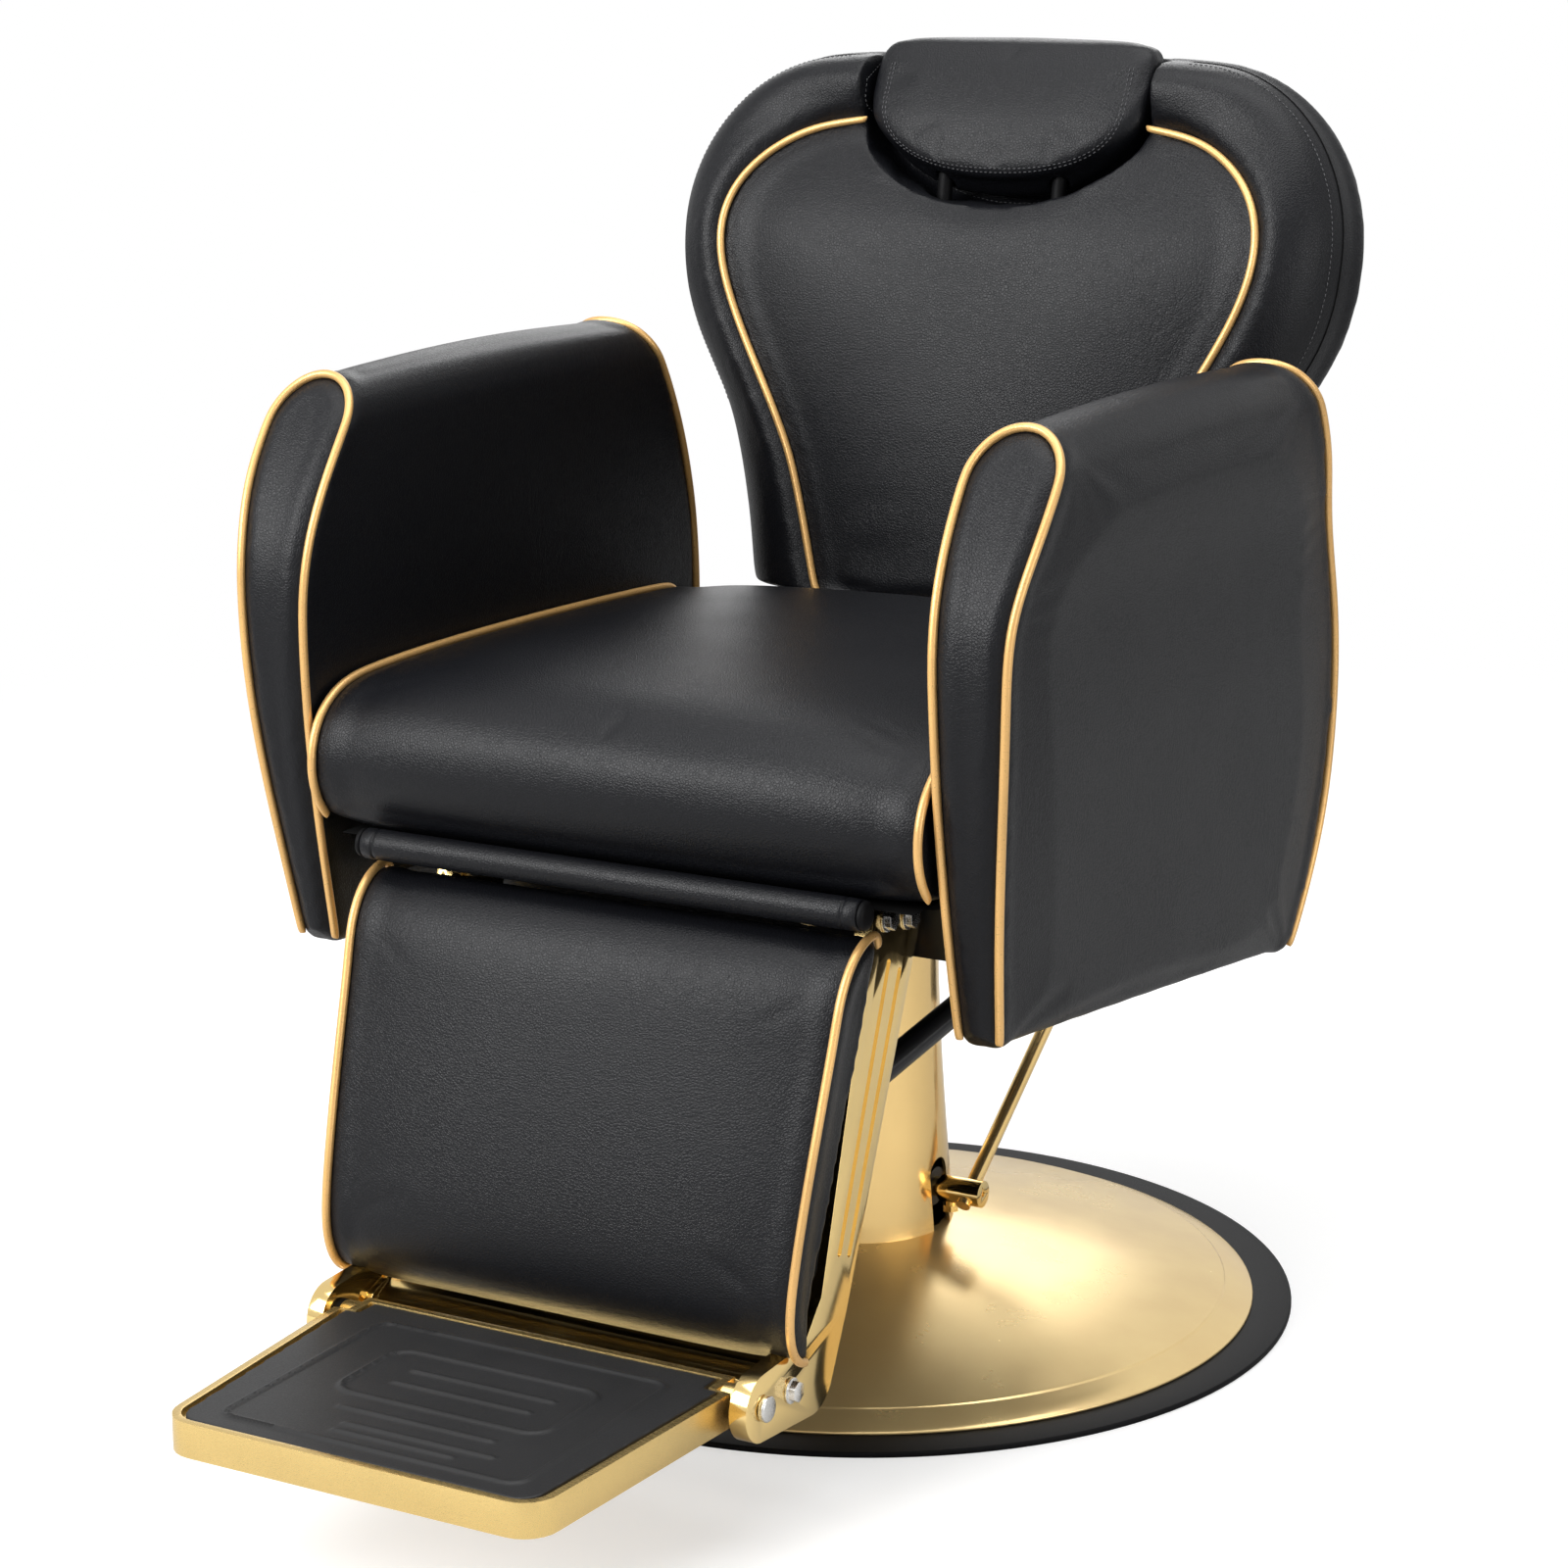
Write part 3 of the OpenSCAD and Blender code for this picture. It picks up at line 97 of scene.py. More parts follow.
def maths(tree, operation, a, b=None):
    node = tree.nodes.new("ShaderNodeMath")
    node.operation = operation
    for socket, value in zip(node.inputs, (a, b)):
        if value is None:
            continue
        if isinstance(value, (int, float)):
            socket.default_value = value
        else:
            tree.links.new(value, socket)
    return node.outputs[0]


def raysOf(tree):
    # 1 where the camera looks, and 1 where a mirror or a see-through surface does
    path = tree.nodes.new("ShaderNodeLightPath")
    mirrored = maths(tree, "MAXIMUM", path.outputs["Is Glossy Ray"],
                     path.outputs["Is Transmission Ray"])
    return path.outputs["Is Camera Ray"], mirrored


def whiteOf(tree, kind, strength=1.0):
    node = tree.nodes.new(kind)
    node.inputs["Color"].default_value = (1, 1, 1, 1)
    node.inputs["Strength"].default_value = strength
    return node


def mixedOf(tree, amount, first, second):
    node = tree.nodes.new("ShaderNodeMixShader")
    tree.links.new(amount, node.inputs["Fac"])
    tree.links.new(first, node.inputs[1])
    tree.links.new(second, node.inputs[2])
    return node.outputs[0]


def addWorld():
    # dim for the rays that light the chair, brighter in its gloss, white for the camera
    world = bpy.data.worlds.new("paleStudio")
    world.use_nodes = True
    tree = world.node_tree
    tree.nodes.clear()
    seen, mirrored = raysOf(tree)
    light, mirror, white = (whiteOf(tree, "ShaderNodeBackground", strength).outputs[0]
                            for strength in (studio["worldLight"], studio["worldMirror"], 1.0))
    out = tree.nodes.new("ShaderNodeOutputWorld")
    tree.links.new(mixedOf(tree, seen, mixedOf(tree, mirrored, light, mirror), white),
                   out.inputs["Surface"])
    bpy.context.scene.world = world


def addFloor():
    bm = bmesh.new()
    bmesh.ops.create_grid(bm, x_segments=2, y_segments=2, size=studio["floorSize"] / 2)
    mesh = bpy.data.meshes.new("studioFloor")
    bm.to_mesh(mesh)
    bm.free()
    floor = bpy.data.objects.new("studioFloor", mesh)
    bpy.context.collection.objects.link(floor)
    mat = bpy.data.materials.new("palePaper")
    mat.use_nodes = True
    tree = mat.node_tree
    tree.nodes.clear()
    seen, mirrored = raysOf(tree)
    paper = tree.nodes.new("ShaderNodeBsdfDiffuse")
    paper.inputs["Color"].default_value = (studio["floorShade"],) * 3 + (1,)
    glow = whiteOf(tree, "ShaderNodeEmission")
    tree.links.new(maths(tree, "ADD", maths(tree, "MULTIPLY", seen, studio["floorGlow"]),
                         maths(tree, "MULTIPLY", mirrored, studio["floorMirror"])),
                   glow.inputs["Strength"])
    near = tree.nodes.new("ShaderNodeAddShader")
    tree.links.new(paper.outputs[0], near.inputs[0])
    tree.links.new(glow.outputs[0], near.inputs[1])
    # further out the paper runs into plain white
    where = tree.nodes.new("ShaderNodeTexCoord")
    reach = tree.nodes.new("ShaderNodeVectorMath")
    reach.operation = "LENGTH"
    fade = tree.nodes.new("ShaderNodeMapRange")
    fade.interpolation_type = "SMOOTHSTEP"
    fade.inputs["From Min"].default_value = studio["whiteFrom"]
    fade.inputs["From Max"].default_value = studio["whiteTo"]
    tree.links.new(where.outputs["Object"], reach.inputs[0])
    tree.links.new(reach.outputs["Value"], fade.inputs["Value"])
    white = whiteOf(tree, "ShaderNodeEmission")
    out = tree.nodes.new("ShaderNodeOutputMaterial")
    tree.links.new(mixedOf(tree, maths(tree, "MULTIPLY", fade.outputs["Result"], seen),
                           near.outputs[0], white.outputs[0]), out.inputs["Surface"])
    mesh.materials.append(mat)


addCamera()
addLamps()
addWorld()
addFloor()
bpy.context.scene.view_settings.view_transform = "Standard"
print("studio ready")

# finishes

finishes = {
    "leather": {"colour": (0.0046, 0.0049, 0.0064), "rough": 0.33, "shine": 0.21,
                "grain": 0.0021, "grainDepth": 0.0003, "patches": 9, "creases": 85,
                "creaseDepth": 0.0006, "puckers": 150, "puckerDepth": 0.0012},
    "piping": {"colour": (0.76, 0.45, 0.16), "rough": 0.32, "metal": 0.40, "grain": 900,
               "grainDepth": 0.0003},
    "gold": {"colour": (0.94, 0.69, 0.29), "rough": 0.10, "metal": 1.0},
    "satinGold": {"colour": (0.96, 0.67, 0.28), "rough": 0.17, "metal": 0.86},
    "dishGold": {"colour": (1.0, 0.73, 0.34), "rough": 0.24, "metal": 0.56},
    "brushedGold": {"colour": (0.76, 0.55, 0.22), "rough": 0.27, "metal": 0.95},
    "rubber": {"colour": (0.0045, 0.0045, 0.0050), "rough": 0.50, "shine": 0.09},
    "matRubber": {"colour": (0.014, 0.014, 0.0145), "rough": 0.48, "shine": 0.32},
    # black: the real colour of the seam cords, and painted shade where it colours the boards and
    # the sheet under the seat
    "cloth": {"colour": (0.006, 0.006, 0.006), "rough": 0.9, "shine": 0.05},
    "steel": {"colour": (0.72, 0.71, 0.69), "rough": 0.24, "shine": 0.5},
    "blackPaint": {"colour": (0.008, 0.008, 0.009), "rough": 0.36, "shine": 0.30},
    "plywood": {"colour": (0.50, 0.34, 0.19), "rough": 0.65},
    "darkMetal": {"colour": (0.16, 0.16, 0.165), "rough": 0.5, "shine": 0.5},
    "thread": {"colour": (0.10, 0.10, 0.105), "rough": 0.7, "shine": 0.3},
}


def startMaterial(name):
    mat = bpy.data.materials.new(name)
    mat.use_nodes = True
    tree = mat.node_tree
    shader = tree.nodes["Principled BSDF"]
    return mat, tree, shader


def objectPoint(tree, scale=(1, 1, 1), turn=(0, 0, 0)):
    where = tree.nodes.new("ShaderNodeTexCoord")
    place = tree.nodes.new("ShaderNodeMapping")
    place.inputs["Scale"].default_value = scale
    place.inputs["Rotation"].default_value = turn
    tree.links.new(where.outputs["Object"], place.inputs["Vector"])
    return place.outputs["Vector"]


def noiseOf(tree, point, scale, detail=2.0, roughness=0.5, distortion=0.0):
    node = tree.nodes.new("ShaderNodeTexNoise")
    node.inputs["Scale"].default_value = scale
    node.inputs["Detail"].default_value = detail
    node.inputs["Roughness"].default_value = roughness
    node.inputs["Distortion"].default_value = distortion
    tree.links.new(point, node.inputs["Vector"])
    return node.outputs["Fac"]


def spread(tree, value, low, high, fromLow=0.0, fromHigh=1.0):
    node = tree.nodes.new("ShaderNodeMapRange")
    node.inputs["From Min"].default_value = fromLow
    node.inputs["From Max"].default_value = fromHigh
    node.inputs["To Min"].default_value = low
    node.inputs["To Max"].default_value = high
    tree.links.new(value, node.inputs["Value"])
    return node.outputs["Result"]


def bumpOf(tree, height, distance, strength=1.0, before=None):
    node = tree.nodes.new("ShaderNodeBump")
    node.inputs["Distance"].default_value = distance
    node.inputs["Strength"].default_value = strength
    tree.links.new(height, node.inputs["Height"])
    if before is not None:
        tree.links.new(before, node.inputs["Normal"])
    return node.outputs["Normal"]


def blendColour(tree, amount, first, second):
    node = tree.nodes.new("ShaderNodeMix")
    node.data_type = "RGBA"
    tree.links.new(amount, node.inputs[0])
    node.inputs[6].default_value = (*first, 1)
    node.inputs[7].default_value = (*second, 1)
    return node.outputs[2]


def shaded(tree, shader, amount, colour, dark, bright):
    # base colour that runs between a darker and a brighter shade
    low, high = (tuple(min(1.0, c * share) for c in colour) for share in (dark, bright))
    tree.links.new(blendColour(tree, amount, low, high), shader.inputs["Base Color"])


def stirred(tree, point, scale, amount):
    # the point pushed about by a noise, so that cells lose their regular outline
    stir = tree.nodes.new("ShaderNodeTexNoise")
    stir.inputs["Scale"].default_value = scale
    stir.inputs["Detail"].default_value = 2
    shift = tree.nodes.new("ShaderNodeVectorMath")
    shift.operation = "SCALE"
    shift.inputs["Scale"].default_value = amount
    moved = tree.nodes.new("ShaderNodeVectorMath")
    moved.operation = "ADD"
    tree.links.new(point, stir.inputs["Vector"])
    tree.links.new(stir.outputs["Color"], shift.inputs[0])
    tree.links.new(point, moved.inputs[0])
    tree.links.new(shift.outputs[0], moved.inputs[1])
    return moved.outputs[0]


def pebblesOf(tree, point, size):
    # rounded grain: 1 at the middle of each pebble, 0 in the furrow around it
    cells = tree.nodes.new("ShaderNodeTexVoronoi")
    cells.feature = "DISTANCE_TO_EDGE"
    cells.inputs["Scale"].default_value = 1.0 / size
    tree.links.new(stirred(tree, point, 0.6 / size, 0.8 * size), cells.inputs["Vector"])
    return spread(tree, cells.outputs["Distance"], 0.0, 1.0, 0.0, 0.26)


def attributeOf(tree, name):
    node = tree.nodes.new("ShaderNodeAttribute")
    node.attribute_name = name
    return node.outputs["Fac"]


def leatherMaterial():
    # black leatherette: pebble grain, slanting creases in places, puckers along the seams
    look = finishes["leather"]
    mat, tree, shader = startMaterial("blackLeatherette")
    point = objectPoint(tree)
    slant = objectPoint(tree, (1, 1, 0.45), (0.3, 0.75, 0.2))
    pebbles = pebblesOf(tree, point, look["grain"])
    patches = noiseOf(tree, point, look["patches"], 3)
    creases = noiseOf(tree, slant, look["creases"], 3, 0.5, 0.9)
    fold = maths(tree, "ABSOLUTE", maths(tree, "SUBTRACT", creases, 0.5))
    fold = spread(tree, fold, 0.0, 1.0, 0.0, 0.05)
    pucker = noiseOf(tree, point, look["puckers"], 2)
    where = spread(tree, patches, 0.0, 1.0, 0.52, 0.70)
    fine = bumpOf(tree, pebbles, look["grainDepth"], 0.4)
    broad = bumpOf(tree, maths(tree, "MULTIPLY", fold, where), look["creaseDepth"], 0.22, fine)
    drawn = bumpOf(tree, maths(tree, "MULTIPLY", pucker, attributeOf(tree, "nearSeam")),
                   look["puckerDepth"], 0.30, broad)
    tree.links.new(drawn, shader.inputs["Normal"])
    shaded(tree, shader, pebbles, look["colour"], 0.75, 1.15)
    rough = maths(tree, "ADD", spread(tree, pebbles, 0.10, 0.0, 0.0, 0.8),
                  spread(tree, patches, look["rough"] - 0.02, look["rough"] + 0.03, 0.3, 0.7))
    tree.links.new(rough, shader.inputs["Roughness"])
    shader.inputs["Specular IOR Level"].default_value = look["shine"]
    return mat


def pipingMaterial():
    # gold leatherette cord: satin, slightly metallic, with fine cross grain
    look = finishes["piping"]
    mat, tree, shader = startMaterial("goldPiping")
    point = objectPoint(tree)
    grain = noiseOf(tree, point, look["grain"], 2)
    drift = noiseOf(tree, point, 11, 2)
    shaded(tree, shader, spread(tree, drift, 0, 1, 0.3, 0.7), look["colour"], 0.86, 1.12)
    tree.links.new(spread(tree, grain, look["rough"] - 0.06, look["rough"] + 0.08, 0.3, 0.7),
                   shader.inputs["Roughness"])
    shader.inputs["Metallic"].default_value = look["metal"]
    tree.links.new(bumpOf(tree, grain, look["grainDepth"], 0.35), shader.inputs["Normal"])
    return mat


def goldMaterial(name, key, brushAlong=None):
    # plated gold: mirror bright with faint haze, or brushed along one direction
    look = finishes[key]
    mat, tree, shader = startMaterial(name)
    point = objectPoint(tree)
    haze = noiseOf(tree, point, 16, 4, 0.6)
    shader.inputs["Metallic"].default_value = look["metal"]
    shaded(tree, shader, spread(tree, haze, 0, 1, 0.3, 0.7), look["colour"], 0.95, 1.04)
    if brushAlong is None:
        fine = noiseOf(tree, point, 700, 3, 0.6)
        rough = spread(tree, haze, look["rough"] - 0.03, look["rough"] + 0.05, 0.3, 0.7)
        tree.links.new(bumpOf(tree, fine, 0.00004, 0.25), shader.inputs["Normal"])
    else:
        streaks = noiseOf(tree, objectPoint(tree, brushAlong), 160, 4, 0.65)
        rough = spread(tree, streaks, look["rough"] - 0.07, look["rough"] + 0.10, 0.3, 0.7)
        tree.links.new(bumpOf(tree, streaks, 0.00008, 0.35), shader.inputs["Normal"])
    tree.links.new(rough, shader.inputs["Roughness"])
    return mat


def plainMaterial(name, key, metallic, grainScale, grainDepth):
    # painted, moulded or machined finish: cloudy shade and fine grain
    look = finishes[key]
    mat, tree, shader = startMaterial(name)
    point = objectPoint(tree)
    cloud = noiseOf(tree, point, 18, 3)
    grain = noiseOf(tree, point, grainScale, 3, 0.6)
    shader.inputs["Metallic"].default_value = metallic
    shader.inputs["Specular IOR Level"].default_value = look["shine"]
    shaded(tree, shader, spread(tree, cloud, 0, 1, 0.3, 0.7), look["colour"], 0.88, 1.12)
    tree.links.new(spread(tree, grain, look["rough"] - 0.06, look["rough"] + 0.08, 0.3, 0.7),
                   shader.inputs["Roughness"])
    tree.links.new(bumpOf(tree, grain, grainDepth, 0.5), shader.inputs["Normal"])
    return mat


def plywoodMaterial():
    # pale birch with drawn-out rings
    look = finishes["plywood"]
    mat, tree, shader = startMaterial("birchPly")
    rings = tree.nodes.new("ShaderNodeTexWave")
    rings.inputs["Scale"].default_value = 9
    rings.inputs["Distortion"].default_value = 7
    rings.inputs["Detail"].default_value = 3
    tree.links.new(objectPoint(tree, (1, 6, 6)), rings.inputs["Vector"])
    shaded(tree, shader, rings.outputs["Fac"], look["colour"], 0.72, 1.0)
    shader.inputs["Roughness"].default_value = look["rough"]
    tree.links.new(bumpOf(tree, rings.outputs["Fac"], 0.0003, 0.3), shader.inputs["Normal"])
    return mat


leather = leatherMaterial()
pipingGold = pipingMaterial()
polishedGold = goldMaterial("polishedGold", "gold")
satinGold = goldMaterial("satinGold", "satinGold")
dishGold = goldMaterial("dishGold", "dishGold")
brushedGold = goldMaterial("brushedGold", "brushedGold", (1, 14, 40))
blackRubber = plainMaterial("blackRubber", "rubber", 0.0, 900, 0.00025)
matRubber = plainMaterial("matRubber", "matRubber", 0.0, 900, 0.00025)
brightSteel = plainMaterial("brightSteel", "steel", 1.0, 1200, 0.00005)
blackPaint = plainMaterial("blackPaint", "blackPaint", 0.0, 700, 0.0002)
darkMetal = plainMaterial("darkMetal", "darkMetal", 0.6, 500, 0.0004)
# black for the seam cords, and painted shade on the boards and on the sheet under the seat
blackSeamsAndShade = plainMaterial("blackSeamsAndPaintedShade", "cloth", 0.0, 1600, 0.0002)
plywood = plywoodMaterial()
thread = plainMaterial("greyThread", "thread", 0.0, 2500, 0.0001)
print("finishes ready")

finishOfSlot = {
    "rubber": blackRubber, "cast_iron": darkMetal, "gold": polishedGold,
    "gold_cast": polishedGold, "black_steel": blackPaint, "steel": brightSteel,
    "ram_chrome": brightSteel, "black_plastic": blackRubber, "brass": polishedGold,
    "plywood": plywood, "cushion": leather, "piping": pipingGold,
}

# making pieces


def asPiece(bm, name, material, body, replaced=()):
    # a bmesh turned into a smooth piece that rides on a body and stands for CAD nodes
    mesh = bpy.data.meshes.new(name)
    bm.to_mesh(mesh)
    bm.free()
    mesh.shade_smooth()
    piece = bpy.data.objects.new(name, mesh)
    bpy.context.collection.objects.link(piece)
    mesh.materials.append(material)
    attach(piece, body)
    if replaced:
        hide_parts(*replaced)
    return piece


def copyOf(name):
    # merged copy of a CAD node
    bm = bmesh.new()
    bm.from_mesh(nodes[name].data)
    bmesh.ops.remove_doubles(bm, verts=bm.verts, dist=1e-5)
    return bm


def joinedQuads(bm):
    bmesh.ops.join_triangles(bm, faces=bm.faces, angle_face_threshold=math.radians(25),
                             angle_shape_threshold=math.radians(60))


def applied(piece):
    # the piece with its modifiers made part of its mesh
    graph = bpy.context.evaluated_depsgraph_get()
    mesh = bpy.data.meshes.new_from_object(piece.evaluated_get(graph))
    mesh.name = piece.name
    piece.modifiers.clear()
    piece.data = mesh
    return mesh


def sharpened(piece, degrees=32):
    # hard shading on the edges that are steeper than this
    piece.data.set_sharp_from_angle(angle=math.radians(degrees))


def softened(name, node, body, material, width, segments=2, where=None):
    # the CAD shape with its hard edges rounded, so that they catch the light
    bm = copyOf(node)
    bmesh.ops.dissolve_limit(bm, angle_limit=math.radians(1.0), verts=bm.verts, edges=bm.edges)
    hard = [e for e in bm.edges if len(e.link_faces) == 2
            and e.calc_face_angle(0) > math.radians(28) and (where is None or where(e))]
    bmesh.ops.bevel(bm, geom=hard, offset=width, affect="EDGES", segments=segments,
                    profile=0.5, material=-1, clamp_overlap=True)
    piece = asPiece(bm, name, material, body, (node,))
    sharpened(piece)
    return piece


def spun(points, centre, axis, steps):
    # a closed outline spun once about an axis
    bm = bmesh.new()
    outline = [bm.verts.new(point) for point in points]
    for a, b in zip(outline, outline[1:] + outline[:1]):
        bm.edges.new((a, b))
    bmesh.ops.spin(bm, geom=bm.verts[:] + bm.edges[:], cent=centre, axis=axis,
                   angle=math.tau, steps=steps, use_merge=True)
    bmesh.ops.remove_doubles(bm, verts=bm.verts, dist=1e-6)
    bmesh.ops.recalc_face_normals(bm, faces=bm.faces)
    return bm


def turned(profile, roundOver, minAngle=12):
    # outline of (radius, height) points spun about the swivel axis, its rings rounded over
    bm = spun([(r, 0, z) for r, z in profile], (0, 0, 0), (0, 0, 1), 144)
    hard = [e for e in bm.edges if len(e.link_faces) == 2
            and e.calc_face_angle(0) > math.radians(minAngle)
            and abs(e.verts[0].co.z - e.verts[1].co.z) < 1e-6]
    bmesh.ops.bevel(bm, geom=hard, offset=roundOver, affect="EDGES", segments=3,
                    profile=0.5, material=-1, clamp_overlap=True)
    return bm


def tubeAlong(name, points, radius, material, body):
    # round cord through a row of points
    data = bpy.data.curves.new(name, "CURVE")
    data.dimensions = "3D"
    data.bevel_depth = radius
    data.bevel_resolution = 3
    data.use_fill_caps = True
    spline = data.splines.new("POLY")
    spline.points.add(len(points) - 1)
    for spot, co in zip(spline.points, points):
        spot.co = (*co, 1)
    holder = bpy.data.objects.new(name + "Path", data)
    bpy.context.collection.objects.link(holder)
    graph = bpy.context.evaluated_depsgraph_get()
    mesh = bpy.data.meshes.new_from_object(holder.evaluated_get(graph))
    bpy.data.objects.remove(holder)
    bm = bmesh.new()
    bm.from_mesh(mesh)
    bpy.data.meshes.remove(mesh)
    return asPiece(bm, name, material, body)


def gradeOf(value, low, high):
    # 0 below low, 1 above high, smooth between
    t = min(1.0, max(0.0, (value - low) / (high - low)))
    return t * t * (3 - 2 * t)


def bezier(p0, p1, p2, p3, count):
    # points on a cubic curve, without its last one
    out = []
    for i in range(count):
        t = i / count
        s = 1 - t
        out.append(tuple(s**3 * a + 3 * s * s * t * b + 3 * s * t * t * c + t**3 * d
                         for a, b, c, d in zip(p0, p1, p2, p3)))
    return out


def evenly(points, pitch):
    # (place, direction) at equal steps along a row of points
    points = [Vector(p) for p in points]
    out = []
    due = pitch / 2
    for a, b in zip(points, points[1:]):
        length = (b - a).length
        while due <= length:
            out.append((a.lerp(b, due / length), (b - a).normalized()))
            due += pitch
        due -= length
    return out


def stitches(name, points, body, look):
    # a row of small thread stitches
    bm = bmesh.new()
    size = Vector((look["long"] / 2, look["thick"] / 2, look["thick"] / 2))
    for place, along in evenly(points, look["pitch"]):
        turn = along.to_track_quat("X", "Z")
        bmesh.ops.create_uvsphere(bm, u_segments=6, v_segments=4, radius=1,
                                  matrix=Matrix.LocRotScale(place, turn, size))
    return asPiece(bm, name, thread, body)


def surfaceOf(name):
    # the surface of a CAD node, for nearest points
    bm = copyOf(name)
    tree = bvhtree.BVHTree.FromBMesh(bm)
    bm.free()
    return tree


def subdivided(piece, name, levels):
    smooth = piece.modifiers.new(name, "SUBSURF")
    smooth.levels = levels
    smooth.render_levels = levels


def regridded(piece, voxel, passes):
    # an even grid over the shape, eased by a few smoothing passes
    grid = piece.modifiers.new("grid", "REMESH")
    grid.mode = "VOXEL"
    grid.voxel_size = voxel
    ease = piece.modifiers.new("ease", "SMOOTH")
    ease.factor = 0.5
    ease.iterations = passes
    return applied(piece)


stuffing = {"quality": 4, "mass": 0.25, "tension_stiffness": 18, "compression_stiffness": 18,
            "shear_stiffness": 8, "bending_stiffness": 2.5, "use_pressure": True,
            "vertex_group_mass": "held", "pin_stiffness": 1.0}
stuffingFrames = 20


def swollen(piece, hold, look):
    # inflates a pad between its seams with cloth pressure, then keeps the result
    mesh = piece.data
    pins = piece.vertex_groups.new(name="held")
    home = [v.co.copy() for v in mesh.vertices]
    inward = [v.normal.copy() for v in mesh.vertices]
    for v in mesh.vertices:
        pins.add([v.index], hold[v.index], "REPLACE")
        v.co = home[v.index] - inward[v.index] * look["draw"] * (1 - hold[v.index])
    cloth = piece.modifiers.new("stuffing", "CLOTH")
    for setting, value in stuffing.items():
        setattr(cloth.settings, setting, value)
    cloth.settings.uniform_pressure_force = look["pressure"]
    cloth.settings.effector_weights.gravity = 0
    cloth.collision_settings.use_collision = False
    cloth.point_cache.frame_start = 1
    cloth.point_cache.frame_end = stuffingFrames
    scene = bpy.context.scene
    for number in range(1, stuffingFrames + 1):
        scene.frame_set(number)
    mesh = applied(piece)
    for v in mesh.vertices:
        move = v.co - home[v.index]
        if move.length > look["cap"]:
            v.co = home[v.index] + move.normalized() * look["cap"]
    scene.frame_set(1)


def cushion(name, node, body, seamNode, look, rest, shape=None):
    # a pad drawn in at its seams, swollen between them; rest tells which parts stay put
    bm = copyOf(node)
    joinedQuads(bm)
    crease = bm.edges.layers.float.new("crease_edge")
    for e in bm.edges:
        if len(e.link_faces) == 2 and e.calc_face_angle(0) > math.radians(48):
            e[crease] = look["crease"]
    piece = asPiece(bm, name, leather, body, (node,))
    subdivided(piece, "flow", 2)
    mesh = regridded(piece, look["voxel"], look["ease"])
    near = [1.0] * len(mesh.vertices)
    if seamNode:
        seams = surfaceOf(seamNode)
        for v in mesh.vertices:
            spot, normal, index, far = seams.find_nearest(v.co)
            near[v.index] = far
            v.co = v.co.lerp(spot, 0.75 * (1 - gradeOf(far, 0.0005, look["meet"])))
    hold = [max(1 - gradeOf(d, look["holdNear"], look["holdFar"]), rest(v.co))
            for d, v in zip(near, mesh.vertices)]
    swollen(piece, hold, look)
    mesh = piece.data
    nearSeam = mesh.attributes.new("nearSeam", "FLOAT", "POINT")
    for v in mesh.vertices:
        nearSeam.data[v.index].value = 1 - gradeOf(near[v.index], 0.003, 0.024)
        if shape:
            v.co = shape(v.co)
    subdivided(piece, "fine", 1)
    applied(piece)
    piece.data.shade_smooth()
    print("cushion", name, len(piece.data.polygons))
    return piece


pipingLook = {"radius": 0.0031, "fuller": 0.19, "backFuller": 0.0006, "backReach": 0.021}


def cordPiece(bm, name, node, body):
    piece = asPiece(bm, name, pipingGold, body, (node,))
    subdivided(piece, "round", 2)


def piping(name, node, body, shape=None):
    bm = copyOf(node)
    joinedQuads(bm)
    bm.normal_update()
    out = {v: v.normal.copy() for v in bm.verts}
    for v, normal in out.items():
        # the round surface falls inside its cage, so the cage is made fuller
        v.co += normal * pipingLook["radius"] * pipingLook["fuller"]
        if shape:
            v.co = shape(v.co)
    cordPiece(bm, name, node, body)


# CAD nodes that keep their shape

for item in frame["record"]["subparts"]:
    node = nodes[item["node"]]
    node.data.materials.clear()
    node.data.materials.append(finishOfSlot[item["material_slot"]])
ownFinish = {"seat_board": blackSeamsAndShade, "calf_board": blackSeamsAndShade,  # both boards are coloured black, painted shade for the shadowed underside
             "headrest_posts": blackRubber, "headrest_sockets": blackPaint,
             "lever_rod": satinGold, "pump_cover": satinGold}
for name, finish in ownFinish.items():
    nodes[name].data.materials.clear()
    nodes[name].data.materials.append(finish)
print("CAD nodes finished")

# base: rubber pad and spun dish

baseLook = {
    "padRadius": 0.340, "padHeight": 0.0045, "padLap": 0.020, "padRound": 0.0014,
    "dishRadius": 0.310, "dishTop": 0.061, "dishRound": 0.0009, "pumpHole": 0.0680,
    # rim of the dish: (how far in, how far up) from its lowest outer edge, then its underside
    "rim": ((0, 0), (0, 0.002), (0.003, 0.0037), (0.015, 0.0088), (0.0215, 0.0107),
            (0.0225, 0.0120)),
    "under": ((0.007, 0.002), (0.007, 0)),
    "collar": ((0.0085, 0), (0, 0), (0, -0.003), (0.0070, -0.003)),
}


def makeBase():
    outer, inner, high = baseLook["padRadius"], baseLook["dishRadius"], baseLook["padHeight"]
    within = inner - baseLook["padLap"]
    pad = turned([(within, 0.0), (outer, 0.0), (outer, high), (within, high)],
                 baseLook["padRound"], minAngle=60)
    asPiece(pad, "floorPad", blackRubber, "base", ("floor_pad",))
    low = high + 0.00002  # the dish stands a hair clear of its pad
    top, hole = baseLook["dishTop"], baseLook["pumpHole"]
    dish = turned([(inner - inset, low + rise) for inset, rise in baseLook["rim"]]
                  + [(hole + out, top + rise) for out, rise in baseLook["collar"]]
                  + [(inner - 0.018, high + 0.0066)]
                  + [(inner - inset, low + rise) for inset, rise in baseLook["under"]],
                  baseLook["dishRound"])
    sharpened(asPiece(dish, "baseDish", dishGold, "base", ("base_dish",)), 50)


makeBase()
print("base done")

# padded pieces and their piping

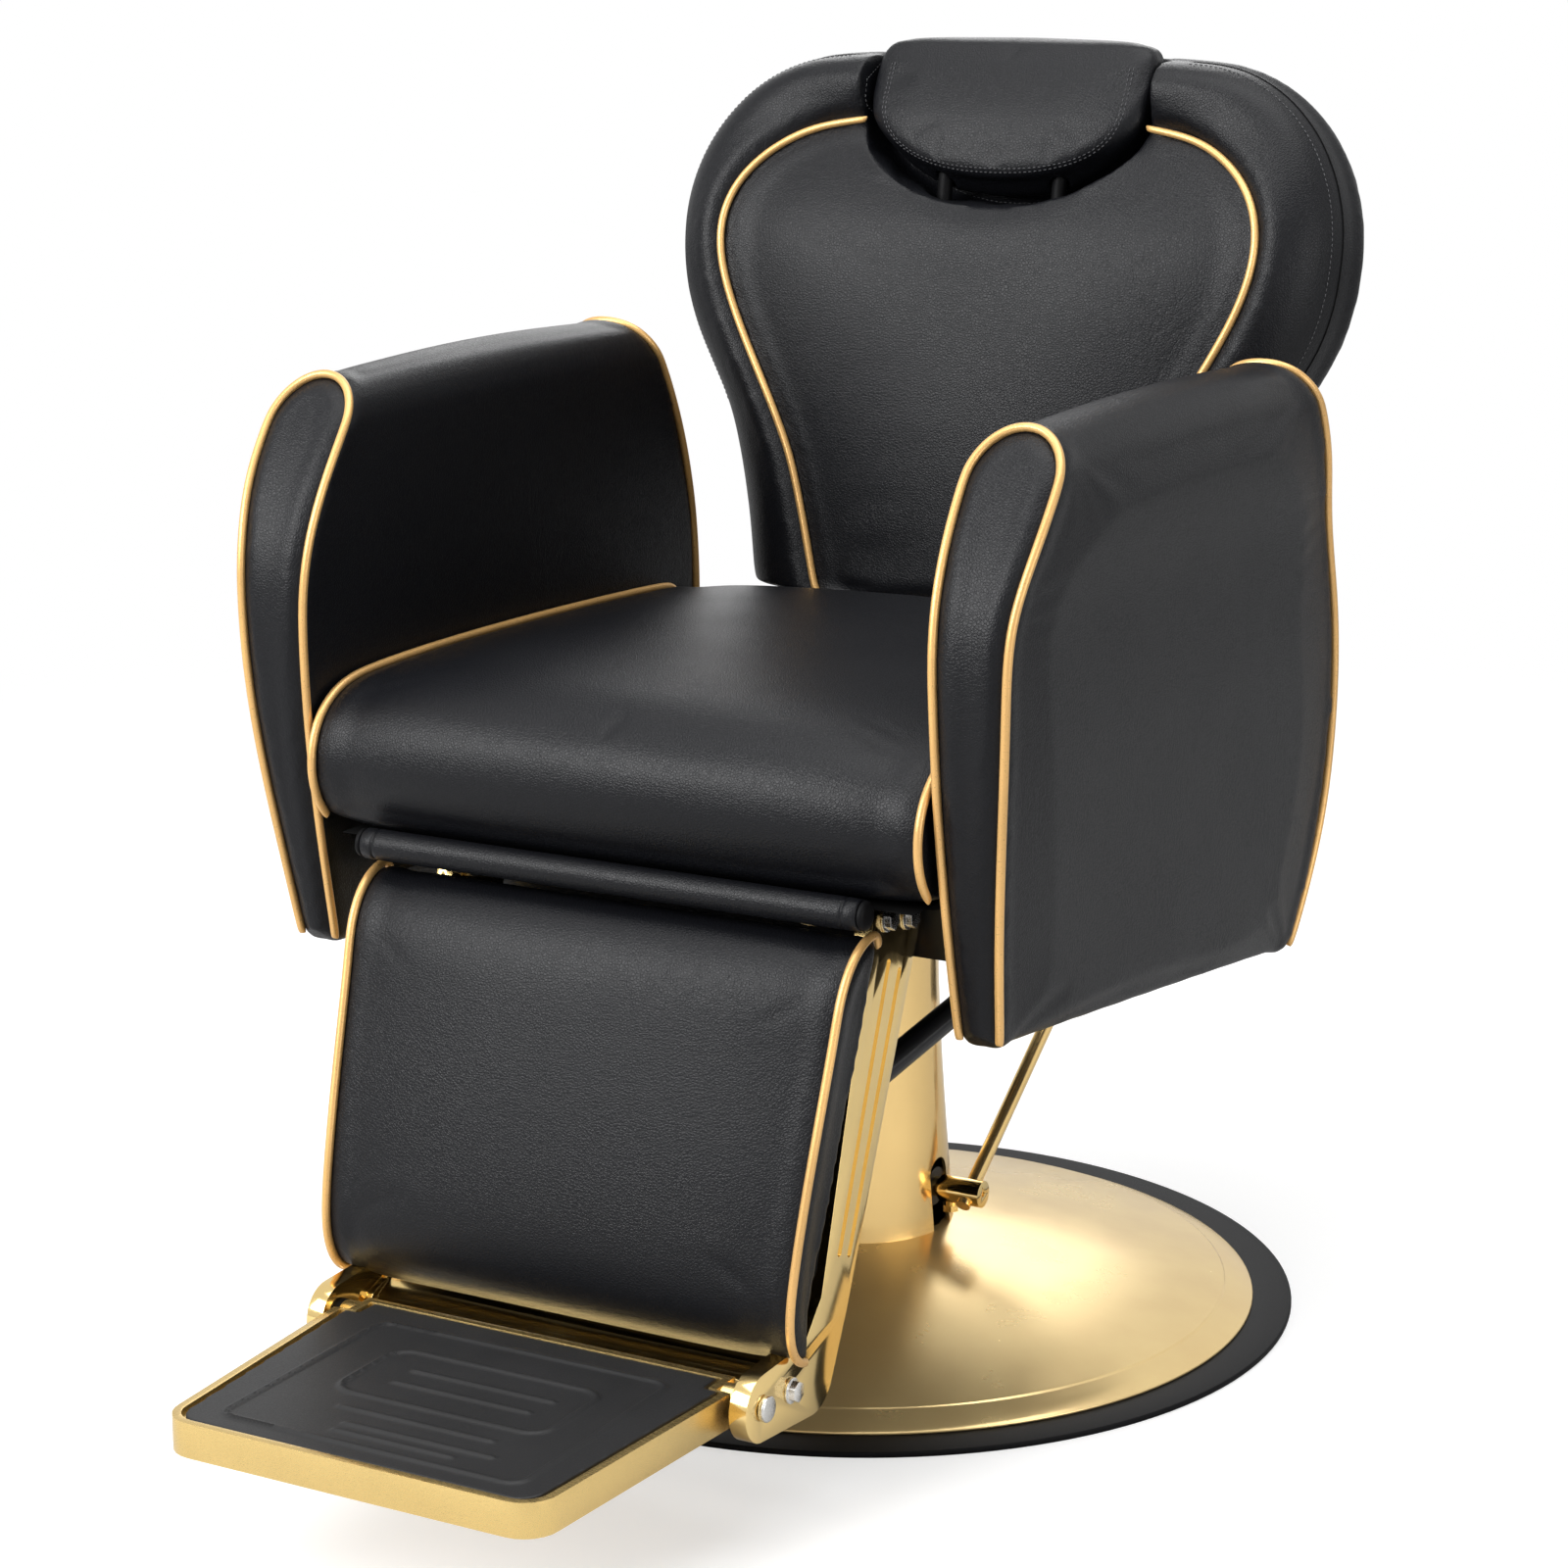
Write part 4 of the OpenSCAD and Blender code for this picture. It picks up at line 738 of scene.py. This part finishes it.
padLook = {
    "seat": {"voxel": 0.005, "ease": 3, "crease": 0.6, "meet": 0.006, "draw": 0.004,
             "holdNear": 0.006, "holdFar": 0.030, "pressure": 4.0, "cap": 0.008, "fill": 0.7,
             "restHeight": (0.430, 0.440), "restSide": (0.228, 0.238)},
    "arm": {"voxel": 0.0045, "ease": 2, "crease": 0.9, "meet": 0.007, "draw": 0.002,
            "holdNear": 0.006, "holdFar": 0.024, "pressure": 2.4, "cap": 0.0028, "fill": 0.8,
            "restSide": (0.254, 0.264)},
    "back": {"voxel": 0.005, "ease": 3, "crease": 0.9, "meet": 0.006, "draw": 0.004,
             "holdNear": 0.006, "holdFar": 0.028, "pressure": 4.0, "cap": 0.007, "fill": 0.7,
             "restDepth": (0.056, 0.068)},
    "calf": {"voxel": 0.0045, "ease": 2, "crease": 0.6, "meet": 0.006, "draw": 0.003,
             "holdNear": 0.006, "holdFar": 0.024, "pressure": 3.5, "cap": 0.006, "fill": 0.7,
             "restDepth": (-0.012, -0.004), "upMore": 0.007, "upAlong": (-0.05, 0.02),
             "downMore": 0.010, "downAlong": (-0.25, -0.15)},
    "head": {"voxel": 0.0035, "ease": 2, "crease": 0.6, "meet": 0.006, "draw": 0.002,
             "holdNear": 0.005, "holdFar": 0.018, "pressure": 2.4, "cap": 0.003, "fill": 0.8,
             "restDepth": (0.048, 0.056), "leanBack": 0.007, "leanUp": 0.004,
             "lapBack": 0.022, "drop": 0.010, "widen": 0.009},
}


def leaning(place, degrees):
    # the frame of a piece that leans back by some degrees: depth along y, height along z
    return Matrix.Translation(place) @ Matrix.Rotation(math.radians(-degrees), 4, "X")


backPlace = leaning((0, 0.1924, 0.800), 9.04)
calfPlace = leaning((0, -0.343, 0.369), 18.04)
backFrame = backPlace.inverted()
calfFrame = calfPlace.inverted()


# 1 where a pad lies on its board and stays put, 0 where it may swell
def seatRest(co):
    look = padLook["seat"]
    return max(1 - gradeOf(co.z, *look["restHeight"]), gradeOf(abs(co.x), *look["restSide"]))


def armRest(co):
    return 1 - gradeOf(abs(co.x), *padLook["arm"]["restSide"])


def backRest(co):
    return gradeOf((backFrame @ co).y, *padLook["back"]["restDepth"])


def calfRest(co):
    return gradeOf((calfFrame @ co).y, *padLook["calf"]["restDepth"])


def headRest(co):
    return gradeOf((backFrame @ co).y, *padLook["head"]["restDepth"])


def makeBackPiping():
    # the two cords run on to the edges of the headrest's recess
    bm = copyOf("back_piping")
    joinedQuads(bm)
    for v in bm.verts:
        at = backFrame @ v.co
        reach = gradeOf(at.z, 0.085, 0.098) * gradeOf(-abs(at.x), -0.165, -0.140)
        at.x -= math.copysign(pipingLook["backReach"] * reach, at.x)
        at.z += 0.0015 * reach
        v.co = backPlace @ at
    bm.normal_update()
    for v, normal in [(v, v.normal.copy()) for v in bm.verts]:
        v.co += normal * pipingLook["backFuller"]
    cordPiece(bm, "backPiping", "back_piping", "back")


def longerCalf(co):
    # the pad's soft ends reach a little past its board
    look = padLook["calf"]
    at = calfFrame @ co
    at.z += (look["upMore"] * gradeOf(at.z, *look["upAlong"])
             - look["downMore"] * (1 - gradeOf(at.z, *look["downAlong"])))
    return calfPlace @ at


def wrappedHead(co):
    # the head of the pad leans back and laps over the top of the backrest
    look = padLook["head"]
    at = backFrame @ co
    lean = gradeOf(at.z, 0.100, 0.168)
    lap = gradeOf(at.z, 0.157, 0.165) * gradeOf(at.y, 0.030, 0.056)
    rear = gradeOf(at.y, 0.022, 0.044)
    low = 1 - gradeOf(at.z, 0.060, 0.105)
    wide = (1 - low) * (1 - lap) * gradeOf(at.y, 0.012, 0.030) * gradeOf(abs(at.x), 0.06, 0.10)
    at.x += math.copysign(look["widen"] * wide, at.x)
    at.z += look["leanUp"] * lean - look["drop"] * rear * low
    at.y += look["leanBack"] * lean + look["lapBack"] * lap
    return backPlace @ at


cushion("seatCushion", "seat_cushion", "seat", "seat_piping", padLook["seat"], seatRest)
for side in ("right", "left"):
    cushion("armPad" + side.title(), "arm_pad_" + side, "seat", "arm_piping_" + side,
            padLook["arm"], armRest)
    piping("armPiping" + side.title(), "arm_piping_" + side, "seat")
backCushion = cushion("backCushion", "back_cushion", "back", "back_piping",
                      padLook["back"], backRest)
cushion("calfPad", "calf_pad", "leg_rest", "calf_piping", padLook["calf"], calfRest, longerCalf)
headPad = cushion("headPad", "headrest_pad", "headrest", None, padLook["head"], headRest,
                  wrappedHead)
piping("seatPiping", "seat_piping", "seat")
makeBackPiping()
piping("calfPiping", "calf_piping", "leg_rest", shape=longerCalf)
print("pads and piping done")

# stitched seams of the backrest and the headrest

stitchLook = {"pitch": 0.0042, "long": 0.0030, "thick": 0.0007, "seamRadius": 0.0007,
              "headHalf": 0.114, "headFoot": 0.050, "headInsets": (0.0085, 0.0115),
              "recessOutset": 0.0115,
              "seamShare": 0.972, "stitchShare": 0.958}


def onFace(piece, flat, lift=0.0003):
    # points of a flat row in the backrest's frame, dropped onto the front of a piece
    tree = bvhtree.BVHTree.FromObject(piece, bpy.context.evaluated_depsgraph_get())
    ahead = (backPlace.to_3x3() @ Vector((0, 1, 0))).normalized()
    out = []
    for x, v in flat:
        hit, normal, index, far = tree.ray_cast(backPlace @ Vector((x, -0.3, v)), ahead)
        if hit is not None:
            out.append(hit + normal * lift)
    return out


def headEdge(inset):
    # left side of the headrest's outline from its foot to its head, then mirrored
    wide = stitchLook["headHalf"] - inset
    foot = stitchLook["headFoot"] + inset
    half = (bezier((0.004, foot), (0.058, foot), (wide, 0.075), (wide, 0.115), 16)
            + [(wide, 0.115), (wide, 0.130), (wide, 0.145)])
    return [(-x, v) for x, v in reversed(half)] + half


def shoulderEdge(side, share):
    # outer edge of the backrest from its waist over the shoulder to the recess
    half = (bezier((0.240, -0.139), (0.256, -0.100), (0.295, -0.075), (0.295, 0.010), 24)
            + bezier((0.295, 0.010), (0.295, 0.090), (0.235, 0.157), (0.154, 0.157), 32)
            + [(0.154, 0.157), (0.128, 0.1575)])
    return [(side * x * share, -0.02 + (v + 0.02) * share) for x, v in half]


def makeStitches():
    for number, inset in enumerate(stitchLook["headInsets"]):
        stitches("headStitch%d" % number, onFace(headPad, headEdge(inset)), "headrest", stitchLook)
    row = onFace(backCushion, headEdge(-stitchLook["recessOutset"]))
    stitches("recessStitch", row, "back", stitchLook)
    for side, word in ((1, "Right"), (-1, "Left")):
        row = onFace(backCushion, shoulderEdge(side, stitchLook["seamShare"]), 0.0)
        tubeAlong("shoulderSeam" + word, row, stitchLook["seamRadius"], blackSeamsAndShade, "back")
    for side, word in ((1, "Right"), (-1, "Left")):
        row = onFace(backCushion, shoulderEdge(side, stitchLook["stitchShare"]), 0.0002)
        stitches("shoulderStitch" + word, row, "back", stitchLook)


makeStitches()
print("stitches done")

# footrest: arms, links, footplate, gap plate and their screws

footLook = {
    "armEdge": 0.0010, "linkEdge": 0.0008, "plateEdge": 0.0012, "gapEdge": 0.0006,
    "pinEdge": 0.0016, "screwEdge": 0.0007, "grooveHalf": 0.0045,
    "grooves": (((-0.290, 0.362), (-0.359, 0.176)), ((-0.274, 0.352), (-0.345, 0.171))),
}


def fromLine(y, z, line):
    # distance from a line between two (y, z) points
    a, b = Vector(line[0]), Vector(line[1])
    p = Vector((y, z))
    t = min(1.0, max(0.0, (p - a).dot(b - a) / (b - a).length_squared))
    return (p - a.lerp(b, t)).length


def offGrooves(edge):
    # the grooves of the arms are too narrow to be rounded
    middle = (edge.verts[0].co + edge.verts[1].co) / 2
    near = min(fromLine(middle.y, middle.z, groove) for groove in footLook["grooves"])
    return near > footLook["grooveHalf"]


for side in ("right", "left"):
    softened("footArm" + side.title(), "footrest_arm_" + side, "leg_rest",
             polishedGold, footLook["armEdge"], 3, offGrooves)
    softened("link" + side.title(), "link_" + side, side + "_link", blackPaint,
             footLook["linkEdge"])
softened("footplate", "footplate", "tread", brushedGold, footLook["plateEdge"], 3)
softened("gapPlate", "gap_plate", "leg_rest", polishedGold, footLook["gapEdge"])
softened("footPins", "footplate_pins", "leg_rest", brightSteel, footLook["pinEdge"], 3)
softened("armScrews", "arm_screws", "leg_rest", brightSteel, footLook["screwEdge"])
softened("leverHub", "lever_hub", "lever", polishedGold, footLook["screwEdge"])
print("footrest done")

# front bar of the seat

barLook = {
    "axis": (-0.370, 0.418), "half": 0.198, "radius": 0.0110, "bore": 0.0072,
    "capReach": 0.203, "steps": 48,
    # end of the sleeve: (how far in from its end, how far under its round face)
    "sleeve": ((0.0002, 0.0014), (0.0016, 0.0002), (0.0080, 0), (0.0105, 0.0001),
               (0.0110, 0.0009), (0.0115, 0.0001), (0.0140, 0)),
}


def alongBar(profile):
    # a closed outline of (x, radius) points spun about the hinge shaft
    y, z = barLook["axis"]
    return spun([(x, y, z + r) for x, r in profile], (0, y, z), (1, 0, 0), barLook["steps"])


def makeBar():
    # vinyl sleeve with a seam ring and a drawn-in edge near each end, then the round caps
    half, r, reach = barLook["half"], barLook["radius"], barLook["capReach"]
    sleeve = [(half - 0.0005, barLook["bore"])]
    sleeve += [(half - inset, r - under) for inset, under in barLook["sleeve"]]
    profile = [(-x, rad) for x, rad in sleeve] + [(x, rad) for x, rad in reversed(sleeve)]
    asPiece(alongBar(profile), "frontBar", leather, "seat", ("front_bar",))
    cap = [(half + 0.0002, 0.0), (half + 0.0002, r - 0.0016), (half + 0.0010, r - 0.0008),
           (reach - 0.0016, r - 0.0012), (reach - 0.0004, r - 0.0030), (reach, r - 0.0052),
           (reach, 0.0)]
    for side, word in ((1, "Right"), (-1, "Left")):
        asPiece(alongBar([(side * x, rad) for x, rad in cap]), "frontBarCap" + word,
                blackRubber, "seat", ("front_bar_caps",))


makeBar()
print("front bar done")

# black sheet under the seat, painted shade

shadeSheetLook = {"halfWidth": 0.229, "from": -0.3560, "to": -0.3065, "height": 0.4189,
            "thick": 0.0008, "edge": 0.0003}


def makeShadeSheet():
    # black sheet that closes the underside of the seat ahead of its board, painted shade standing
    # in for the shadow there
    bm = bmesh.new()
    size = Vector((2 * shadeSheetLook["halfWidth"], shadeSheetLook["to"] - shadeSheetLook["from"],
                   shadeSheetLook["thick"]))
    middle = Vector((0, (shadeSheetLook["from"] + shadeSheetLook["to"]) / 2, shadeSheetLook["height"]))
    bmesh.ops.create_cube(bm, size=1, matrix=Matrix.LocRotScale(middle, None, size))
    bmesh.ops.bevel(bm, geom=bm.edges[:], offset=shadeSheetLook["edge"], affect="EDGES", segments=2,
                    profile=0.5, material=-1)
    sharpened(asPiece(bm, "seatShadeSheet", blackSeamsAndShade, "seat"))


makeShadeSheet()
print("painted shade sheet done")

# rubber mat of the footplate

matLook = {
    "top": 0.1140, "grid": 0.0016, "rise": 0.0016, "half": 0.0022, "inset": 0.0035,
    "frames": ((-0.113, 0.117, -0.667, -0.484, 0.012), (-0.075, 0.088, -0.597, -0.519, 0.016)),
    "ribs": ((-0.044, 0.065, -0.547), (-0.044, 0.060, -0.569), (-0.052, 0.065, -0.619),
             (-0.033, 0.079, -0.640), (-0.033, 0.056, -0.652)),
}


def fromFrame(x, y, x0, x1, y0, y1, corner):
    # distance to the outline of a rounded rectangle
    qx = abs(x - (x0 + x1) / 2) - ((x1 - x0) / 2 - corner)
    qy = abs(y - (y0 + y1) / 2) - ((y1 - y0) / 2 - corner)
    return abs(math.hypot(max(qx, 0), max(qy, 0)) + min(max(qx, qy), 0) - corner)


def ridgeAt(x, y):
    # height of the moulded lines, which fade out at the ends of the ribs
    near = [fromFrame(x, y, *outline) for outline in matLook["frames"]]
    near += [math.hypot(x - min(max(x, x0), x1), y - y0) for x0, x1, y0 in matLook["ribs"]]
    return matLook["rise"] * math.exp(-(min(near) / matLook["half"]) ** 2)


def makeMat():
    # the mat without its CAD ribs, on an even grid that carries the moulded lines
    bm = copyOf("footplate_mat")
    bmesh.ops.bisect_plane(bm, geom=bm.verts[:] + bm.edges[:] + bm.faces[:], dist=1e-6,
                           plane_co=(0, 0, matLook["top"] - 0.0003), plane_no=(0, 0, 1),
                           clear_outer=True)
    rim = [e for e in bm.edges if e.is_boundary]
    bmesh.ops.holes_fill(bm, edges=rim, sides=0)
    piece = asPiece(bm, "treadMat", matRubber, "tread", ("footplate_mat",))
    mesh = regridded(piece, matLook["grid"], 2)
    reach = max(abs(v.co.x) for v in mesh.vertices)
    for v in mesh.vertices:
        v.co.x *= 1 - matLook["inset"] / reach
        if v.normal.z > 0.6:
            v.co.z += ridgeAt(v.co.x, v.co.y)
    mesh.shade_smooth()


makeMat()
print("mat done")
